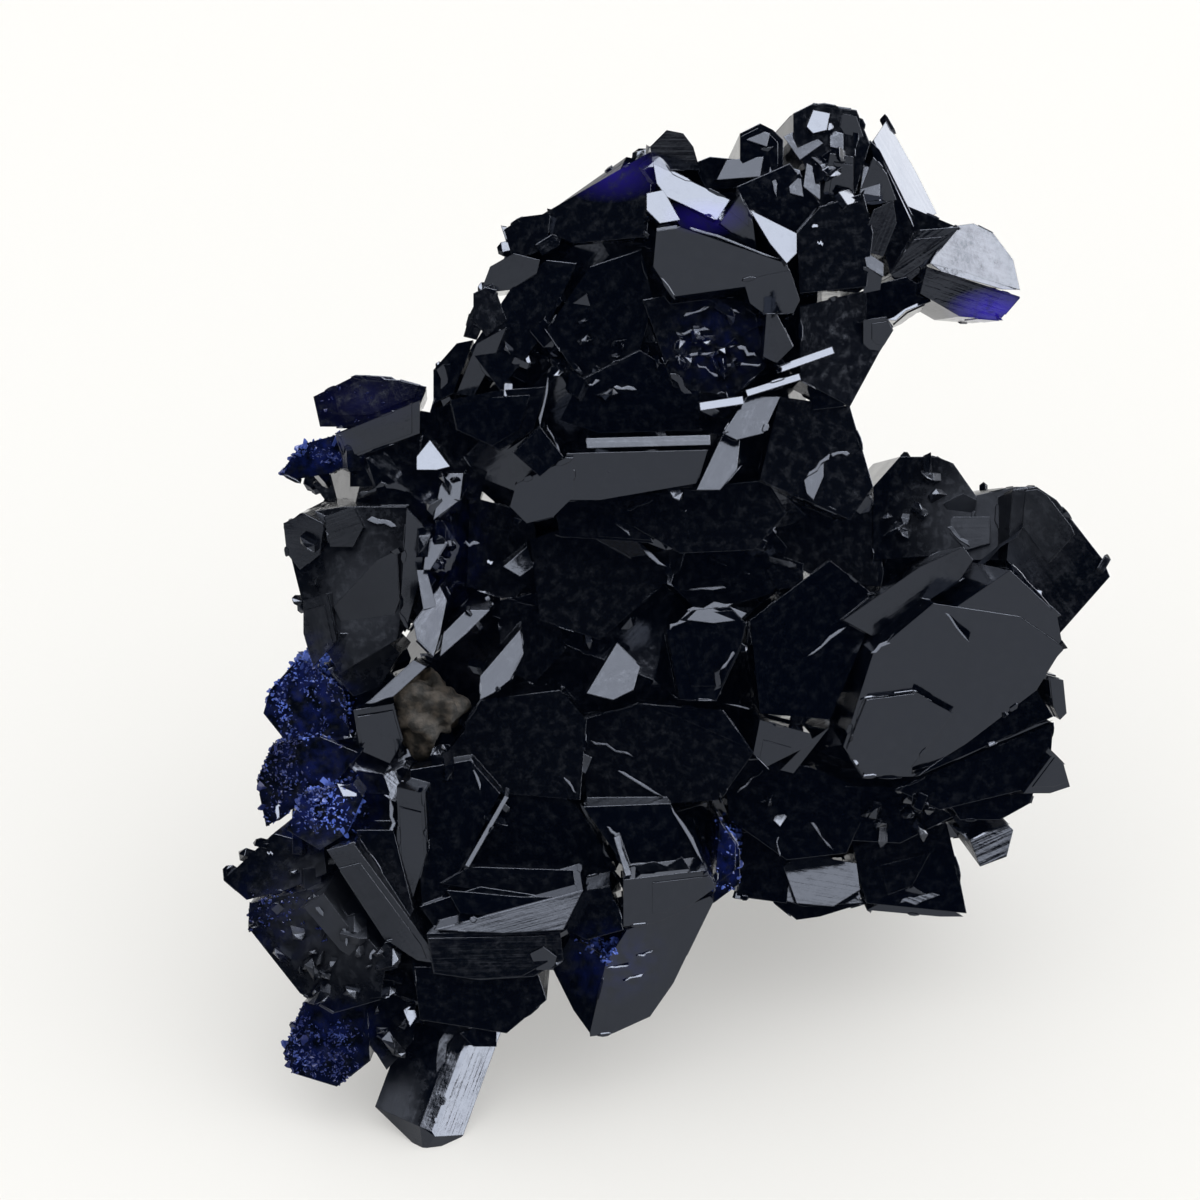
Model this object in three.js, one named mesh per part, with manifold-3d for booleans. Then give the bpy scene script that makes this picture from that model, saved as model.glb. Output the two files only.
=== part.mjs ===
// Azurite specimen: a thumbnail-sized cluster of dark blue bladed crystals that grew into one another,
// with a scrap of brown limonite held in a pocket on its left side.
// Millimetres, +Z up. The origin is at the bottom centre of the cluster, on the surface it stands on.
import * as THREE from "three";
import { ConvexGeometry } from "three/addons/geometries/ConvexGeometry.js";
import { mergeVertices } from "three/addons/utils/BufferGeometryUtils.js";
import Module from "manifold-3d";

const wasm = await Module();
wasm.setup();

// Driving dimensions.
// Crystals are placed as a viewer sees them from the front and above: millimetres right and up on a
// sheet through the middle of the specimen, and millimetres from that sheet toward the viewer.
const VIEW_ELEVATION = THREE.MathUtils.degToRad(35); // how far the viewer looks down
const VIEW_DISTANCE = 200; // from the viewer to the sheet
const SHEET_HEIGHT = 13; // from the floor to the middle of the sheet
const POCKET_GAP = 0.3; // clearance all round the limonite in its pocket
const FLOOR_SPAN = 200; // side of the block that trims the feet level
const ROOT_LEAN = 0.4; // how far a tabular crystal's root leans in toward the heart, as a share of its depth
const ROOT_STRAY = 0.25; // how far such a root strays aside, as a share of its depth
const ROOT_NARROWEST = 0.65; // the least size of such a root, as a share of the crystal's face
const EDGE_DEPTH = 3; // how far a blade that is seen edge-on runs into the cluster
const BLADE_ROOT = 0.6; // how far a blade is sunk below its root, as a share of its length
const BLADE_SHOULDER = 0.72; // where a blade's sides end and its chisel end begins, as a share of its length
const BLADE_CORNERS = [[0.5, 0.1], [0.2, 0.5], [-0.5, -0.1], [-0.2, -0.5]]; // of its width and thickness
const BLADE_CHISEL = [[1, 0.25], [0.92, -0.28]]; // ends of the chisel edge, as shares of its length and width
const BLADE_FLATNESS = 0.6; // thickness of a blade over its width
const SPRAY_STRAY = 1.1; // how far the blades of a spray lean out of line
const SPRAY_SIZES = [0.65, 1.25]; // smallest and largest blade of a spray, over its middle size
const GOLDEN_ANGLE = Math.PI * (3 - Math.sqrt(5)); // spreads the corners of a lump evenly
const WELD = 1e-4; // corners closer than this are one corner
const DICE = { step: 1664525, shift: 1013904223, span: 2 ** 32 }; // of a linear congruential sequence

const EYE = new THREE.Vector3(0, 0, VIEW_DISTANCE);
const HEART = new THREE.Vector3(1.5, 4, 0); // the place that the crystals grow away from
const HEART_REACH = 12; // beyond this distance from it the crystals' roots lean in fully

// From (right, up, toward) to the part's own X, Y and Z.
function toPart(p) {
  const sin = Math.sin(VIEW_ELEVATION);
  const cos = Math.cos(VIEW_ELEVATION);
  return new THREE.Vector3(p.x, p.y * sin - p.z * cos, SHEET_HEIGHT + p.y * cos + p.z * sin);
}

// The place at a given depth that the viewer sees at (right, up) on the sheet.
function seen(right, up, toward) {
  const share = 1 - toward / VIEW_DISTANCE;
  return new THREE.Vector3(right * share, up * share, toward);
}

// A closed solid from a three.js geometry.
function solidOf(geometry) {
  geometry.deleteAttribute("normal");
  geometry.deleteAttribute("uv");
  const merged = mergeVertices(geometry, WELD);
  return new wasm.Manifold(
    new wasm.Mesh({
      numProp: 3,
      vertProperties: new Float32Array(merged.attributes.position.array),
      triVerts: new Uint32Array(merged.index.array),
    }),
  );
}

const hull = (points) => solidOf(new ConvexGeometry(points.map(toPart)));

// Repeatable numbers from 0 to 1 for one seed.
function dice(seed) {
  let state = seed;
  return () => {
    state = (state * DICE.step + DICE.shift) % DICE.span;
    return state / DICE.span;
  };
}

// The middle of a list of points.
function middleOf(points) {
  const total = points.reduce((sum, p) => sum.add(p), new THREE.Vector3());
  return total.divideScalar(points.length);
}

// A tabular crystal. Its broad face is a flat outline as the viewer sees it, with its middle at a depth
// `toward`, leaning so that it faces `faces` = [right, up] for each unit that it faces the viewer. It runs
// `deep` into the cluster, narrowing and leaning in a little differently from crystal to crystal.
function tablet({ outline, toward, faces, deep }, index) {
  const next = dice(index + 1);
  const drawn = outline.map(([right, up]) => new THREE.Vector3(right, up, 0));
  const middle = middleOf(drawn);
  const centre = seen(middle.x, middle.y, toward);
  const normal = new THREE.Vector3(faces[0], faces[1], 1).normalize();
  const reach = centre.clone().sub(EYE).dot(normal);
  const front = drawn.map((p) => {
    const sight = p.clone().sub(EYE);
    return sight.multiplyScalar(reach / sight.dot(normal)).add(EYE);
  });
  const inward = HEART.clone().sub(centre).setZ(0).divideScalar(HEART_REACH).clampLength(0, 1);
  inward.multiplyScalar(ROOT_LEAN * inward.length());
  const stray = new THREE.Vector3(next() - 0.5, next() - 0.5, 0).multiplyScalar(ROOT_STRAY);
  const narrow = THREE.MathUtils.lerp(ROOT_NARROWEST, 1, next());
  const inner = inward.add(stray).setZ(-1).multiplyScalar(deep).add(centre);
  const back = front.map((p) => p.clone().sub(centre).multiplyScalar(narrow).add(inner));
  return hull([...front, ...back]);
}

// A thin blade seen edge-on: a narrow tabular crystal along the line between two places.
function edgeOn({ from, to, breadth, toward, faces }, index) {
  const along = new THREE.Vector2(to[0] - from[0], to[1] - from[1]).normalize();
  const side = [(-along.y * breadth) / 2, (along.x * breadth) / 2];
  const beside = ([right, up], sign) => [right + sign * side[0], up + sign * side[1]];
  const outline = [beside(from, 1), beside(to, 1), beside(to, -1), beside(from, -1)];
  return tablet({ outline, toward, faces, deep: EDGE_DEPTH }, index);
}

// A bladed crystal: four slanting sides that grow from `root` along `along` and end in a chisel edge.
function blade({ root, along, length, width, thick, turn }) {
  const axis = along.clone().normalize();
  const side = new THREE.Vector3(axis.z, axis.x, axis.y).cross(axis);
  side.normalize().applyAxisAngle(axis, turn);
  const flat = axis.clone().cross(side);
  const at = (alongShare, sideShare, flatShare) =>
    root
      .clone()
      .addScaledVector(axis, length * alongShare)
      .addScaledVector(side, width * sideShare)
      .addScaledVector(flat, thick * flatShare);
  const ring = (level) => BLADE_CORNERS.map(([sideShare, flatShare]) => at(level, sideShare, flatShare));
  const chisel = BLADE_CHISEL.map(([level, sideShare]) => at(level, sideShare, 0));
  return hull([...ring(-BLADE_ROOT), ...ring(BLADE_SHOULDER), ...chisel]);
}

// A lump of the dark mass that the crystals grow from: an uneven many-faced stone.
function lump({ centre, radii, seed, corners = 14, rough = 0.36 }) {
  const next = dice(seed);
  const points = [];
  for (let i = 0; i < corners; i++) {
    const height = 1 - (2 * (i + 0.5)) / corners;
    const ring = Math.sqrt(1 - height * height);
    const stretch = 1 - rough / 2 + rough * next();
    points.push(
      new THREE.Vector3(
        centre[0] + radii[0] * stretch * ring * Math.cos(GOLDEN_ANGLE * i),
        centre[1] + radii[1] * stretch * ring * Math.sin(GOLDEN_ANGLE * i),
        centre[2] + radii[2] * stretch * height,
      ),
    );
  }
  return points;
}

// A spray of small blades rooted in an oval region, growing away from a point `heart` inside the cluster.
function spray({ centre, radii, heart, count, length, width, seed }) {
  const next = dice(seed);
  const middle = new THREE.Vector3(...centre);
  const inside = new THREE.Vector3(...heart);
  const blades = [];
  for (let i = 0; i < count; i++) {
    const angle = 2 * Math.PI * next();
    const radius = Math.sqrt(next());
    const offset = new THREE.Vector3(
      radii[0] * radius * Math.cos(angle),
      radii[1] * radius * Math.sin(angle),
      radii[2] * (2 * next() - 1),
    );
    const root = middle.clone().add(offset);
    const stray = new THREE.Vector3(next() - 0.5, next() - 0.5, next() - 0.5);
    const along = root.clone().sub(inside).normalize().addScaledVector(stray, SPRAY_STRAY);
    const size = THREE.MathUtils.lerp(...SPRAY_SIZES, next());
    const turn = Math.PI * next();
    const thick = width * size * BLADE_FLATNESS;
    blades.push(blade({ root, along, length: length * size, width: width * size, thick, turn }));
  }
  return blades;
}

// The dark mass inside.
const LUMPS = [
  { centre: [2.2, 9.4, 0.5], radii: [5.2, 3.8, 3.6], seed: 3 },
  { centre: [1.6, 4.8, -0.6], radii: [6, 4.8, 4.4], seed: 5 },
  { centre: [-5.6, 2.4, -1.4], radii: [2.6, 3.8, 3.2], seed: 7 },
  { centre: [-0.6, -2.4, -3.2], radii: [6.6, 5.2, 4.2], seed: 11 },
  { centre: [-6.6, -6.6, -1.6], radii: [3.4, 5.2, 3.4], seed: 13 },
  { centre: [-3.2, -9.2, -1.6], radii: [4.4, 2.6, 3.2], seed: 17 },
  { centre: [9.6, -1.2, -3.2], radii: [4.0, 3.8, 3.6], seed: 19 },
  { centre: [8.2, -5.6, -5.2], radii: [3.8, 2.6, 3.6], seed: 23 },
  { centre: [1.0, 0.4, -8.0], radii: [6.6, 5.6, 3.6], seed: 29 },
  { centre: [-2.8, -4.4, -8.4], radii: [4.4, 3.2, 3.4], seed: 31 },
  { centre: [7.4, -5.2, -8.0], radii: [3.2, 2.2, 3.0], seed: 37 },
];

// Crystals of the upper lobe.
const UPPER = [
  {
    outline: [[-2.2, 11.3], [-1.6, 11.6], [1.6, 13.5], [1.5, 11.9], [1.4, 10.9], [-0.8, 10.7]],
    toward: 3.4, faces: [-0.5, 0.3], deep: 3,
  },
  {
    outline: [[-2.9, 11.1], [-2.3, 11.5], [-1.5, 11.6], [-1.6, 10.6], [-2.6, 10.2]],
    toward: 2.8, faces: [-0.3, 0.1], deep: 3,
  },
  {
    outline: [[1.5, 13.6], [2, 14.1], [2.5, 14], [2.8, 13.6], [3, 12.9], [2, 12.9], [1.6, 13.1]],
    toward: 3.8, faces: [0.1, -0.35], deep: 3,
  },
  {
    outline: [[1.6, 13.1], [3.9, 12], [3.5, 11.4], [2, 12.1], [1.7, 12.5]],
    toward: 4.7, faces: [0.05, 0.42], deep: 2.5,
  },
  {
    outline: [[1.4, 12.2], [1.9, 12.3], [2.4, 11.4], [1.8, 11.3], [1.4, 11.7]],
    toward: 5.1, faces: [0, 0.45], deep: 2.5,
  },
  {
    outline: [[2.1, 11.9], [2.9, 12], [3.6, 11.4], [4.7, 10.5], [2.4, 11.2]],
    toward: 4.5, faces: [0.15, 0.05], deep: 3,
  },
  {
    outline: [[4.2, 12.2], [3.6, 11.3], [4.7, 10.4], [4.6, 11.3]],
    toward: 4.7, faces: [0.1, -0.4], deep: 3,
  },
  {
    outline: [[4.5, 11.7], [5.9, 11], [5.9, 10.4], [5.6, 10.1], [5.1, 10.7]],
    toward: 4.9, faces: [0.1, 0.42], deep: 3,
  },
  {
    outline: [[1.7, 11.1], [2.4, 11.2], [5.6, 10.1], [5.8, 9.6], [3.6, 9.3], [2.2, 9.1], [1.6, 10]],
    toward: 4.9, faces: [0.05, -0.45], deep: 4,
  },
  {
    outline: [[4.3, 9.6], [5.7, 9.9], [6, 9], [5.8, 8.6], [4.9, 8.6], [4.5, 8.9]],
    toward: 4.4, faces: [0.05, -0.45], deep: 3,
  },
  {
    outline: [[5, 8.6], [5.3, 8.6], [5.8, 7.6], [5.3, 7.1], [4.9, 7.3]],
    toward: 4.6, faces: [0.1, -0.4], deep: 3,
  },
  {
    outline: [[4.4, 6.1], [5.4, 6.1], [4.9, 5], [4.1, 4.8], [3.7, 5]],
    toward: 4.6, faces: [0.1, 0.26], deep: 3,
  },
  {
    outline: [[3.7, 5], [4.2, 4.8], [4.1, 3.9], [3.6, 3.3], [2.9, 3.3]],
    toward: 4.6, faces: [0.1, 0.26], deep: 3,
  },
  {
    outline: [[-1, 4.4], [3.2, 4.5], [2.9, 3.5], [2, 3.4], [0, 3], [-1.2, 3]],
    toward: 4.7, faces: [0, -0.45], deep: 4,
  },
  {
    outline: [[-2.5, 3.5], [-1.8, 3.7], [-0.8, 4.3], [-0.8, 3.1], [-1.4, 2.5], [-2.2, 2.3], [-2.7, 2.8]],
    toward: 4.5, faces: [-0.1, -0.42], deep: 4,
  },
  {
    outline: [[-2.6, 4.4], [-1.8, 5.2], [-1.1, 4.3], [-1.8, 3.7]],
    toward: 4.9, faces: [0, 0], deep: 2,
  },
  {
    outline: [[-3.6, 9.2], [-3.3, 10], [-2.6, 10.4], [-1.8, 10.2], [-1.9, 9.8], [-2.7, 9.3]],
    toward: 3.5, faces: [-0.2, -0.4], deep: 3,
  },
  {
    outline: [[-4.1, 7.9], [-3.9, 8.6], [-3.5, 9.4], [-3.1, 9.3], [-3.4, 8.5], [-3.7, 7.8]],
    toward: 3, faces: [-0.3, -0.3], deep: 3,
  },
  {
    outline: [[-5, 6.9], [-4.3, 7.7], [-3.8, 7.8], [-4.4, 6.2], [-5, 5.9]],
    toward: 2.2, faces: [-0.4, 0], deep: 3,
  },
  {
    outline: [[-4.3, 6.2], [-3.7, 7.7], [-2.8, 8.2], [-3.2, 7.2], [-3.8, 6.1]],
    toward: 3.1, faces: [-0.1, -0.4], deep: 3,
  },
  {
    outline: [[-3.9, 7.5], [-2.7, 9.3], [-1.6, 10.2], [-0.7, 10.1], [-1.6, 8.1], [-3, 6.3]],
    toward: 3.4, faces: [-0.15, 0], deep: 3,
  },
  {
    outline: [[-1.6, 8.1], [-0.3, 10], [1.2, 10.5], [1.6, 9], [1.2, 7.5], [-0.6, 6.6]],
    toward: 3.6, faces: [0.05, -0.1], deep: 3,
  },
  {
    outline: [[-3, 6.3], [-1.6, 6.4], [-2, 5.1], [-3, 4.5], [-4.3, 5.1], [-4.5, 6]],
    toward: 3.2, faces: [-0.2, -0.1], deep: 3,
  },
  {
    outline: [[-0.6, 6.6], [1.2, 7.5], [3, 6.4], [3, 5.1], [0, 5], [-1.2, 5.4]],
    toward: 3.6, faces: [0, 0], deep: 3,
  },
  {
    outline: [[1.3, 9], [2.3, 9.2], [4.6, 8.9], [5, 7], [4, 6.1], [2.2, 6.4]],
    toward: 3.6, faces: [0.05, 0], deep: 3,
  },
  {
    outline: [[4.2, 13.2], [4.2, 14], [4.8, 14.3], [5.2, 14.1], [5.5, 13.8], [5.5, 12.6], [4.6, 12.6]],
    toward: 3.8, faces: [0.1, 0], deep: 3,
  },
  {
    outline: [[2.8, 13.1], [3.3, 13.3], [3.9, 13.1], [4.3, 13.2], [4.4, 12.4], [3.2, 12.3]],
    toward: 3.4, faces: [0, 0], deep: 3,
  },
  {
    outline: [[5.8, 14.6], [6.4, 14.9], [7.7, 14.7], [8.1, 13.7], [7.6, 12], [6.6, 11.8], [6.2, 13],
      [5.8, 13.9]],
    toward: 3.6, faces: [0.1, 0.05], deep: 3,
  },
  {
    outline: [[6.2, 14.2], [6.4, 14.7], [6.9, 14.6], [6.8, 14.1], [6.4, 14]],
    toward: 3.8, faces: [0.05, 0.42], deep: 2,
  },
  {
    outline: [[6.7, 12.2], [6.9, 13.4], [7.6, 13.3], [7.6, 12.2], [7.1, 11.9]],
    toward: 3.8, faces: [0.1, -0.4], deep: 2,
  },
  {
    outline: [[8.2, 13.3], [7.7, 12], [8.1, 11.9], [8.9, 12], [8.6, 12.8]],
    toward: 3.4, faces: [0.2, -0.4], deep: 3,
  },
  {
    outline: [[8.2, 13.8], [8.6, 14.4], [9.5, 12.8], [10.1, 11.6], [9.4, 11.2]],
    toward: 2.4, faces: [1.1, 0.35], deep: 1,
  },
  {
    outline: [[8.1, 13.8], [8.4, 13.5], [9.5, 11.3], [9, 10.8], [8.5, 12]],
    toward: 2.9, faces: [0.2, -0.1], deep: 3,
  },
  {
    outline: [[4.1, 12.4], [5.7, 13.1], [6.6, 11.9], [6, 11], [4.5, 11.7]],
    toward: 4, faces: [0.2, 0.05], deep: 3,
  },
  {
    outline: [[5.9, 11], [6.6, 11.8], [7.9, 12.2], [8.2, 11], [8, 9.4], [6, 9.2]],
    toward: 4, faces: [0.15, 0], deep: 3,
  },
  {
    outline: [[8.2, 11.7], [8.8, 12], [8.9, 11.3], [8.5, 10.3], [7.9, 10.5], [8, 11.2]],
    toward: 3.8, faces: [0.1, -0.35], deep: 3,
  },
  {
    outline: [[7.9, 10.5], [8.5, 10.1], [8.5, 9.7], [8, 10]],
    toward: 3.9, faces: [0.1, 0.26], deep: 3,
  },
  {
    outline: [[8.8, 12], [9.4, 11.2], [10.7, 11.2], [9.7, 10.8], [8.7, 9.8], [8.4, 11]],
    toward: 2.7, faces: [0.1, 0], deep: 3,
  },
  {
    outline: [[9.6, 11.1], [10.8, 11.2], [10.2, 10.5], [9.8, 10], [9.1, 9.4], [8.7, 9.8]],
    toward: 3.1, faces: [-0.2, -0.35], deep: 3,
  },
  {
    outline: [[9.9, 10.1], [10.5, 11.2], [11.2, 11.3], [11.8, 11], [12.4, 10.2], [12.6, 9.3]],
    toward: 2.6, faces: [0.6, 0.7], deep: 2,
  },
  {
    outline: [[9.8, 10], [12.6, 9.1], [12, 8.4], [10.8, 8.5], [9.6, 9.2]],
    toward: 2.9, faces: [0.2, -0.35], deep: 2,
  },
  {
    outline: [[8, 9.4], [9.2, 9.7], [10.1, 9.1], [8.8, 8.5], [8, 8.4]],
    toward: 2.8, faces: [0, 0], deep: 3,
  },
  {
    outline: [[6, 8.8], [8, 9.3], [8.8, 8.2], [8.3, 7.3], [7.5, 5.8], [6, 6.6]],
    toward: 3, faces: [0.35, 0], deep: 3,
  },
  {
    outline: [[7.9, 8.4], [8.6, 8.5], [8.8, 8.1], [8.3, 7.3], [7.9, 7.7]],
    toward: 2.9, faces: [0.3, -0.4], deep: 2,
  },
  {
    outline: [[5.4, 6.1], [7.5, 5.8], [7.6, 4.8], [8.2, 3.4], [7.5, 2.4], [4.8, 3.6]],
    toward: 2.8, faces: [0.25, 0], deep: 4,
  },
];

// Crystals of the left lobe.
const LEFT = [
  {
    outline: [[-8.6, 6.1], [-7.4, 6.7], [-6, 6.6], [-5.2, 6.4], [-5.4, 5.9], [-7.2, 5.2], [-8.4, 5.2]],
    toward: 0.8, faces: [-0.2, 0.1], deep: 2.5,
  },
  {
    outline: [[-7.9, 5], [-5.4, 6], [-5.4, 5], [-7.6, 4.2]],
    toward: 1.8, faces: [-0.1, -0.4], deep: 3,
  },
  {
    outline: [[-7.5, 4.2], [-5.4, 5], [-5.4, 3.9], [-6.7, 3.4], [-7.5, 3.4]],
    toward: 1.3, faces: [0, 0], deep: 3,
  },
  {
    outline: [[-9.6, 3.8], [-9, 4.6], [-7.9, 4.9], [-7.5, 4.1], [-8.1, 3.8], [-9.2, 3.6]],
    toward: 0.5, faces: [-0.25, 0.02], deep: 2,
  },
  {
    outline: [[-5.5, 4.3], [-5.1, 4.8], [-4.8, 4.2], [-4.5, 4], [-4.9, 3.9], [-5.5, 3.9]],
    toward: 2.8, faces: [0.05, 0.42], deep: 3,
  },
  {
    outline: [[-9.5, 2.2], [-9, 2.6], [-7.7, 2.8], [-5.8, 2.8], [-5.6, 1.2], [-6.1, -1.2], [-7.8, -2.2],
      [-8.8, -0.6], [-9.1, 0.9]],
    toward: 1.4, faces: [-0.15, 0], deep: 4,
  },
  {
    outline: [[-9.5, 2.3], [-8.9, 2.6], [-8.3, 2.3], [-8.4, 1.4], [-9, 0.9], [-9.4, 1.4]],
    toward: 2, faces: [-0.3, -0.3], deep: 2.5,
  },
  {
    outline: [[-8.3, 2.5], [-7.4, 2.8], [-7.1, 2.2], [-7.4, 1.6], [-8.1, 1.6]],
    toward: 1.9, faces: [0, -0.35], deep: 2.5,
  },
  {
    outline: [[-7.4, 0.4], [-6.7, 1.2], [-6.1, 1.5], [-6, 0], [-6.3, -0.8], [-7.6, -1], [-8, -0.2]],
    toward: 1.8, faces: [-0.1, -0.4], deep: 2.5,
  },
  {
    outline: [[-8.9, 0], [-8.2, 0.2], [-7.9, -1.2], [-8.6, -2], [-8.9, -1]],
    toward: 1.5, faces: [-0.3, -0.25], deep: 2.5,
  },
  {
    outline: [[-7.8, -1], [-6.6, -1], [-6, -1.6], [-6.6, -2.6], [-7.4, -2.9], [-8, -2.2]],
    toward: 1.2, faces: [0.1, -0.2], deep: 3,
  },
  {
    outline: [[-5.8, 2.7], [-5.2, 2.1], [-5.4, 0.6], [-5.8, -0.8], [-6, -0.4], [-5.8, 1.4]],
    toward: 2.5, faces: [0.1, -0.45], deep: 3,
  },
  {
    outline: [[-4.8, 3.4], [-4.5, 3.8], [-4.1, 3.8], [-4.2, 3], [-5, 2.4]],
    toward: 3, faces: [-0.05, 0.26], deep: 3,
  },
  {
    outline: [[-5.2, 1.7], [-4.9, 1.9], [-4.6, 1.7], [-5.1, 0.9], [-5.3, 0.9]],
    toward: 2.9, faces: [0, 0.26], deep: 3,
  },
  {
    outline: [[-5.6, -0.7], [-5.3, -0.3], [-4.8, 0.4], [-4.6, 0], [-4.8, -1], [-5, -1.7], [-5.5, -1.2]],
    toward: 3.2, faces: [-0.05, 0.3], deep: 3,
  },
  {
    outline: [[-4.8, -1.7], [-4.7, -1], [-4, -0.3], [-3.3, -0.3], [-4, -1]],
    toward: 3, faces: [0.1, 0.27], deep: 5,
  },
  {
    outline: [[-3.6, -2.3], [-3, -1.6], [-2.4, -0.9], [-2.3, -1.6], [-2.7, -2.4], [-3.2, -2.8], [-3.6, -3]],
    toward: 2.6, faces: [0.05, 0.27], deep: 4,
  },
  {
    outline: [[-2.9, 1], [-2.2, 1.6], [-2, 1], [-2.4, 0.7]],
    toward: 1.6, faces: [0, 0.28], deep: 4,
  },
  {
    outline: [[-0.4, -2.8], [0.5, -1.3], [1.2, -2], [1, -2.7], [0.4, -3]],
    toward: 1.8, faces: [0, 0.3], deep: 4,
  },
  {
    outline: [[-7, -3.1], [-5.6, -1.8], [-5.2, -2], [-6.2, -2.9]],
    toward: 2.2, faces: [-0.1, 0.24], deep: 3,
  },
  {
    outline: [[-7.4, -3.3], [-6.2, -3.1], [-5.9, -4.2], [-6.3, -4.9], [-7.2, -4.5]],
    toward: 1.6, faces: [0, -0.35], deep: 3,
  },
  {
    outline: [[-10.1, -3.4], [-9.9, -2.7], [-9, -1.7], [-7.7, -2.7], [-7.5, -4.1], [-9.3, -4.4]],
    toward: 0.8, faces: [-0.3, 0.1], deep: 2.5,
  },
  {
    outline: [[-10.3, -5.4], [-9.8, -4.3], [-8.4, -4.1], [-7.2, -4.6], [-7.8, -5.3], [-9.2, -6], [-10, -6.8]],
    toward: 1.2, faces: [-0.3, 0], deep: 3,
  },
  {
    outline: [[-9.4, -6.9], [-8.9, -5.8], [-7.4, -5.5], [-7.1, -5.9], [-7.6, -7], [-8.4, -7.5]],
    toward: 2, faces: [-0.15, 0.1], deep: 3,
  },
];

// Crystals in the middle.
const CENTRE = [
  {
    outline: [[-1.4, 3], [1.4, 3.2], [1.6, 1.7], [-1.2, 1.9]],
    toward: 2.4, faces: [-0.1, 0], deep: 3,
  },
  {
    outline: [[1, 3.1], [3, 3.4], [5, 3.6], [5.6, 2.6], [4.6, 1.5], [2.4, 1.4], [1, 2.2]],
    toward: 2.6, faces: [0, 0], deep: 3,
  },
  {
    outline: [[5.4, 2.8], [7.6, 3.4], [8.6, 2.6], [8.4, 0.4], [6.6, 0.6], [5.2, 1.4]],
    toward: 0.4, faces: [0.1, 0.05], deep: 4,
  },
  {
    outline: [[-5, 6], [-3.8, 6.2], [-3.2, 4.6], [-3.6, 3], [-5, 3.2], [-5.4, 4.6]],
    toward: 1.2, faces: [-0.1, 0.05], deep: 4,
  },
  {
    outline: [[-3.9, 3.1], [-2, 2.6], [-1.8, 0.9], [-2.6, 0], [-4, 0.4]],
    toward: 0.7, faces: [0, 0], deep: 5,
  },
  {
    outline: [[-2.1, 1.8], [1.2, 3], [3, 3], [2.4, 0.9], [0, -1.2], [-1.8, -0.6]],
    toward: 0.9, faces: [0.1, 0], deep: 3,
  },
  {
    outline: [[2, 2.6], [4.6, 2.8], [5.6, 1.6], [5.2, 0.2], [3, -0.4], [1.8, 0.8]],
    toward: 0.5, faces: [-0.1, 0.05], deep: 5,
  },
  {
    outline: [[2, -0.9], [2.8, -0.3], [3.9, -0.2], [4.4, -0.7], [4.2, -1.5], [3.5, -3], [2.4, -3]],
    toward: 1.7, faces: [-0.1, 0], deep: 4,
  },
  {
    outline: [[4.5, -0.6], [6.9, 1.2], [8.4, 0], [7.5, -1.8], [6.9, -3.6], [4.8, -3.4]],
    toward: 0.8, faces: [0.15, 0], deep: 4,
  },
  {
    outline: [[4.8, -3.6], [6.3, -4], [6.4, -4.3], [5, -5], [4.6, -4.6]],
    toward: 1.2, faces: [0, -0.4], deep: 4,
  },
  {
    outline: [[-0.6, -3.6], [1.2, -3.1], [3.7, -3.3], [4.6, -4.6], [3.6, -6], [2.1, -6.1], [-0.4, -6]],
    toward: 0.8, faces: [-0.1, 0], deep: 4,
  },
  {
    outline: [[-3.6, -3], [-1.2, -2.7], [-0.4, -3.6], [-0.6, -6], [-2.1, -5.2], [-3, -5.8], [-4.8, -4.8]],
    toward: 1.2, faces: [0.05, 0], deep: 4,
  },
  {
    outline: [[-3, 0], [-1.5, 0.3], [-1, -1.5], [-2, -2.5], [-3, -2]],
    toward: 0.6, faces: [0.2, 0], deep: 3,
  },
];

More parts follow.
